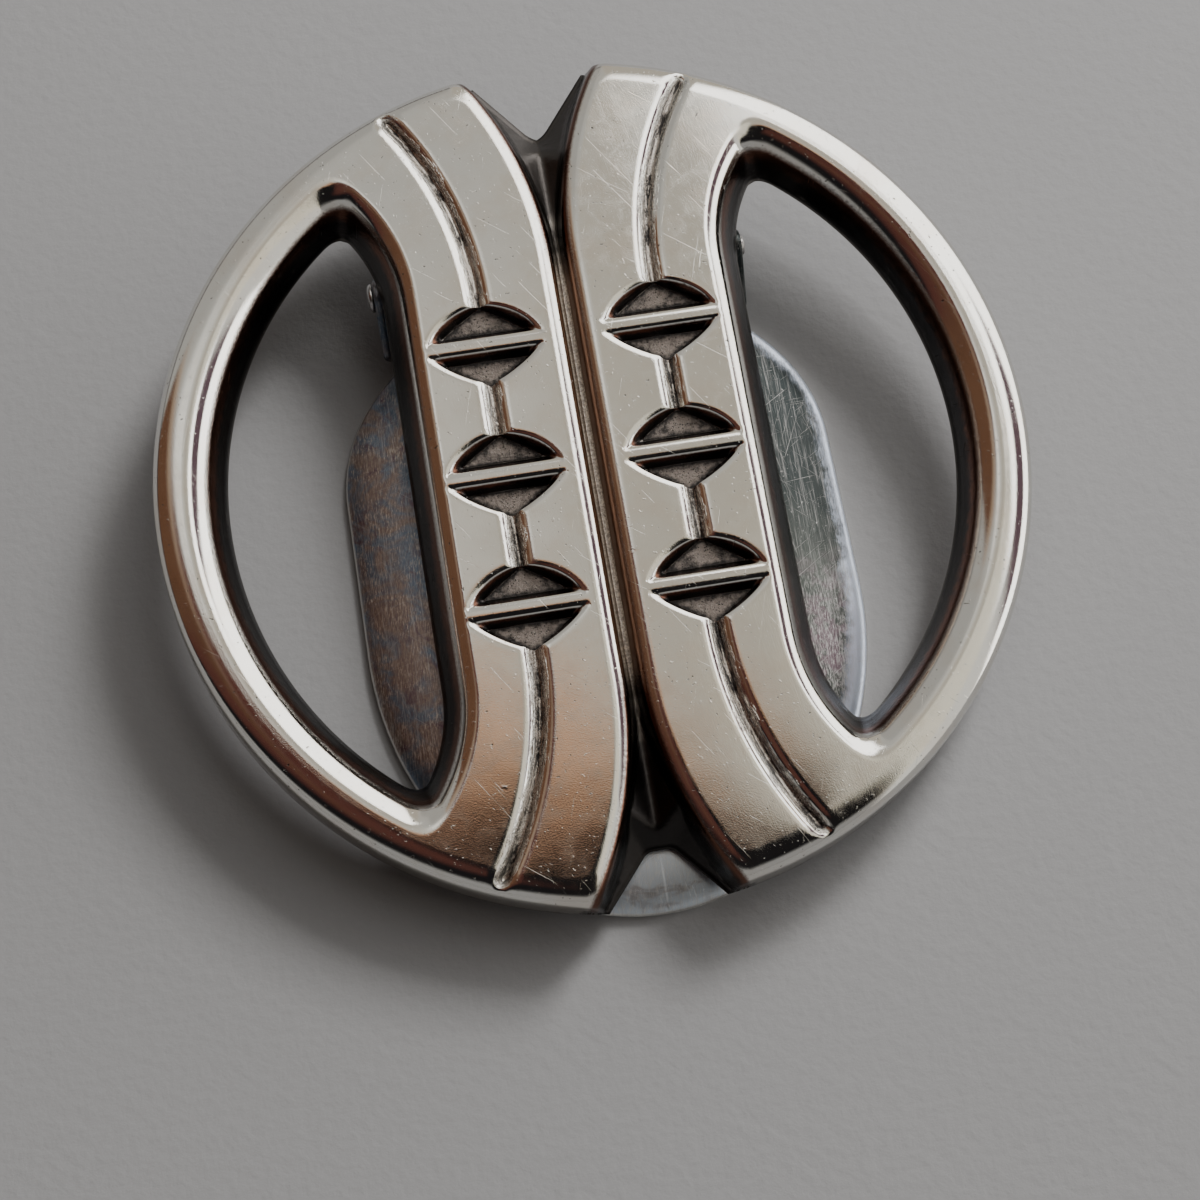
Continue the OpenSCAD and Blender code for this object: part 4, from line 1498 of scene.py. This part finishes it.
class CLIP_OT_clip_plate(bpy.types.Operator):
    """Builds the tarnished clip plate with its folded ears"""

    bl_idname = "clip.clip_plate"
    bl_label = "Clip plate"

    def execute(self, context):
        scene = context.scene
        _, middle_y, _ = back_plane()
        pin = millimetres(scene.clip_pin)
        sheet = Sheet(millimetres(scene.clip_plate), hinge_place(), pin.shaft_radius, middle_y / MM)
        points, faces, inset = sheet.shell()
        piece = mesh_object("clip_plate_sheet", points, faces, Matrix.Scale(MM, 4), {"inset": inset})
        report(f"clip plate has {len(faces)} triangles")
        finish_piece(piece, "clip", plate_material(scene.clip_finish), "clip_plate")
        return {"FINISHED"}


class CLIP_OT_hinge_pin(bpy.types.Operator):
    """Turns the hinge pin with its domed head"""

    bl_idname = "clip.hinge_pin"
    bl_label = "Hinge pin"

    def execute(self, context):
        pin = millimetres(context.scene.clip_pin)
        low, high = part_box("hinge_pin")
        start, end = low.x / MM, high.x / MM
        neck = start + pin.head_length
        turn = np.linspace(0, math.pi / 2, 8)[1:]
        dome = [(neck - 0.1 - 0.3 * math.cos(a), pin.head_radius * math.sin(a)) for a in turn]
        narrowed = ((0.12, 1.0), (0.03, 0.9), (0.0, 0.7))
        chamfer = [(end - back, share * pin.shaft_radius) for back, share in narrowed]
        profile = [(start, 0), *dome, (neck, pin.head_radius), (neck, pin.shaft_radius + 0.02)]
        profile += [(neck + 0.04, pin.shaft_radius), *chamfer, (end, 0)]
        points, faces = lathe(profile, pin.sides)
        along, up = hinge_place()
        points = points + (0, along, up)
        piece = mesh_object("hinge_pin_steel", points, faces, Matrix.Scale(MM, 4))
        finish_piece(piece, "front", pin_material(context.scene.clip_finish), "hinge_pin")
        return {"FINISHED"}


class CLIP_OT_stage(bpy.types.Operator):
    """Adds the pale floor, the soft light and the camera"""

    bl_idname = "clip.stage"
    bl_label = "Stage"

    def execute(self, context):
        look = context.scene.clip_stage
        add_camera()
        add_world(look)
        mesh = bpy.data.meshes.new("floor")
        reach = 2.0
        corners = [(-reach, -reach, 0), (reach, -reach, 0), (reach, reach, 0), (-reach, reach, 0)]
        mesh.from_pydata(corners, [], [(0, 1, 2, 3)])
        mesh.materials.append(floor_material(look))
        floor = bpy.data.objects.new("floor", mesh)
        context.scene.collection.objects.link(floor)
        floor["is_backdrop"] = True
        add_lamp("key_lamp", place=(0.19, 0.22, 0.21), width=0.1, watts=look.lamp, colour=look.lamp_tint)
        return {"FINISHED"}


def add_lamp(name, place, width, watts, colour):
    """A soft square lamp that looks at the object and isn't mirrored in it."""
    data = bpy.data.lights.new(name, "AREA")
    data.shape = "SQUARE"
    data.size = width
    data.energy = watts
    data.color = colour
    lamp = bpy.data.objects.new(name, data)
    lamp.location = place
    lamp.rotation_euler = Vector(place).to_track_quat("Z", "Y").to_euler()
    lamp.visible_glossy = False
    lamp.visible_camera = False
    bpy.context.scene.collection.objects.link(lamp)


def add_world(look):
    """Soft light from overhead, a bright window on the right, and darker sides for the metal to mirror."""
    world = bpy.data.worlds.new("soft_studio")
    world.use_nodes = True
    bpy.context.scene.world = world
    g = Graph(world.node_tree)
    lean, _, _ = back_plane()
    view = g.node("ShaderNodeTexCoord", "Generated")
    local = g.node("ShaderNodeMapping", 0, {"vector_type": "POINT"}, Vector=view, Rotation=(-lean, 0, 0))
    x, y, z = g.axes(local)
    up = z.largest(0.03)
    p, q = x / up, y / up
    leftward = p * -1.0

    right = g.node("ShaderNodeMapRange", 0, Value=p, From_Min=-0.16, From_Max=0.11)
    colour = g.mix(right, look.room, look.room_right)
    colour = g.mix(g.step(leftward, 0.08, 0.13), colour, scaled(look.room, 1.35))
    cream = g.step(p, 0.16, 0.22) * g.fall(q, 0.2, 0.3)
    colour = g.mix(cream, colour, look.cream)
    above = g.step(q, 0.34, 0.5) * g.fall(p, -0.02, 0.14)
    colour = g.mix(above, colour, scaled(look.room, 0.62))
    warm = g.fall(q + 0.7 * (p - 0.024), 0.163, 0.193) * g.fall(q - 0.9 * (p + 0.03), 0.2, 0.235)
    colour = g.mix(warm * g.fall(p, 0.17, 0.22), colour, look.warm)
    ember = g.fall(q + 0.15 * (p - 0.024), 0.116, 0.148) * g.fall(p, 0.1, 0.15)
    colour = g.mix(ember * 0.7, colour, look.ember)
    cloudy = g.step(g.noise(g.vector(p, q, 0.0), 60.0, 6, 0.7), 0.38, 0.62)
    side = g.mix(cloudy, scaled(look.side, 0.3), scaled(look.side, 1.35))
    red = g.mix(cloudy, scaled(look.red, 0.2), scaled(look.red, 1.6))
    left = leftward - 0.8 * (q - 0.17)
    colour = g.mix(g.step(left, 0.1, 0.27), colour, look.tan)
    colour = g.mix(g.step(left, 0.24, 0.55), colour, side)
    colour = g.mix(g.step(left, 0.45, 0.9) * g.fall(q, -0.1, 0.25), colour, red)
    rust = g.fall(q - 0.115 + 0.9 * (p + 0.02) + (cloudy - 0.5) * 0.02, -0.03, 0.035)
    rust = rust * g.step(leftward, 0.02, 0.06) * g.fall(leftward, 0.25, 0.5)
    colour = g.mix(rust, colour, red)
    upper_left = g.step(q - 0.3 + 0.55 * p, 0.0, 0.15) * g.step(leftward, 0.1, 0.25)
    colour = g.mix(upper_left, colour, scaled(look.room, 0.5))
    away = g.step(leftward, 0.15, 0.4) * g.fall(z, -0.05, 0.22)
    colour = g.mix(away, colour, look.corner)

    bar = g.step(p, 0.6, 0.68) * g.fall(p, 1.6, 1.8) * g.fall(q, 0.45, 0.6)
    bright = g.mix(bar, scaled(look.window_tint, look.window), look.bar)
    bright = g.mix(g.step(q + 0.5 * p, 0.3, 0.5), look.room, bright)
    window = g.step(p - 0.2 + 0.7 * (q - 0.47), 0.0, 0.035) * g.fall(q - 1.7 * p, 0.3, 0.7)
    colour = g.mix(window, colour, bright)
    front = g.fall(q + 0.15 * (p - 0.024) + (cloudy - 0.5) * 0.006, 0.097, 0.124)
    front = front * g.fall(q - 0.05 + 1.2 * (p - 0.2), -0.02, 0.04)
    front = front * (1 - 0.85 * g.step(leftward, 0.04, 0.16) * g.step(q, -0.5, -0.1))
    colour = g.mix(front, colour, g.mix(g.step(q * -1.0, 0.8, 1.6), look.dark, look.far))
    below = g.fall(z, -0.05, 0.0)
    colour = g.mix(below, colour, look.floor)
    seen = g.node("ShaderNodeLightPath", "Is Camera Ray")
    colour = g.mix(seen, colour, look.backdrop)
    matt = g.node("ShaderNodeLightPath", "Is Diffuse Ray")
    background = g.node("ShaderNodeBackground", 0, Color=colour, Strength=1 - matt * (1 - look.fill))
    output = g.tree.nodes.new("ShaderNodeOutputWorld")
    join(g.tree, output.inputs["Surface"], background)


def add_camera():
    """The camera, placed in the ornament's plane at the photograph's viewing angle."""
    focal_px, frame_px = 1846.93, 1200
    pitch, roll, turn = -0.215, 0.064, 0.17
    shift = Vector((-0.252, 7.904, -103.715))
    rotation = Matrix.Rotation(turn, 3, "Z") @ Matrix.Rotation(pitch, 3, "X") @ Matrix.Rotation(roll, 3, "Y")
    face = bpy.context.scene.clip_casting.thickness / MM
    place = ornament_matrix()
    eye = place @ (-(rotation.transposed() @ shift) + Vector((0, 0, face)))
    lean = place.to_3x3().normalized()
    camera = bpy.data.objects.new("camera", bpy.data.cameras.new("camera"))
    camera.data.sensor_width = 36
    camera.data.lens = focal_px / frame_px * camera.data.sensor_width
    camera.data.clip_start = 0.005
    camera.matrix_world = Matrix.Translation(eye) @ (lean @ rotation.transposed()).to_4x4()
    bpy.context.scene.collection.objects.link(camera)
    bpy.context.scene.camera = camera


class CLIP_PT_panel(bpy.types.Panel):
    """Sizes, finishes and the steps that build the clip"""

    bl_idname = "CLIP_PT_panel"
    bl_label = "Scarf clip"
    bl_space_type = "VIEW_3D"
    bl_region_type = "UI"
    bl_category = "Scarf clip"

    def draw(self, context):
        scene = context.scene
        steps = (
            (scene.clip_casting, CLIP_OT_ornament),
            (scene.clip_engraving, CLIP_OT_grains),
            (scene.clip_plate, CLIP_OT_clip_plate),
            (scene.clip_pin, CLIP_OT_hinge_pin),
            (scene.clip_stage, CLIP_OT_stage),
            (scene.clip_finish, None),
        )
        for group, operator in steps:
            box = self.layout.box()
            for prop in own_properties(group):
                box.prop(group, prop.identifier)
            if operator:
                box.operator(operator.bl_idname)


GROUPS = {
    "clip_casting": CastingSizes,
    "clip_engraving": EngravingSizes,
    "clip_plate": PlateSizes,
    "clip_pin": PinSizes,
    "clip_finish": Finishes,
    "clip_stage": StageLook,
}
CLASSES = (
    *GROUPS.values(),
    CLIP_OT_ornament,
    CLIP_OT_grains,
    CLIP_OT_clip_plate,
    CLIP_OT_hinge_pin,
    CLIP_OT_stage,
    CLIP_PT_panel,
)


def register():
    for cls in CLASSES:
        bpy.utils.register_class(cls)
    for name, group in GROUPS.items():
        setattr(bpy.types.Scene, name, PointerProperty(type=group))


def unregister():
    for name in GROUPS:
        delattr(bpy.types.Scene, name)
    for cls in reversed(CLASSES):
        bpy.utils.unregister_class(cls)


def main():
    register()
    bpy.ops.clip.ornament()
    bpy.ops.clip.grains()
    bpy.ops.clip.clip_plate()
    bpy.ops.clip.hinge_pin()
    bpy.ops.clip.stage()
    low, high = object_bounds()
    sizes = {"cad": [list(CAD_LOW), list(CAD_HIGH)], "visual": [list(low), list(high)]}
    report(f"boxes {sizes}")


if __name__ == "__main__":
    main()
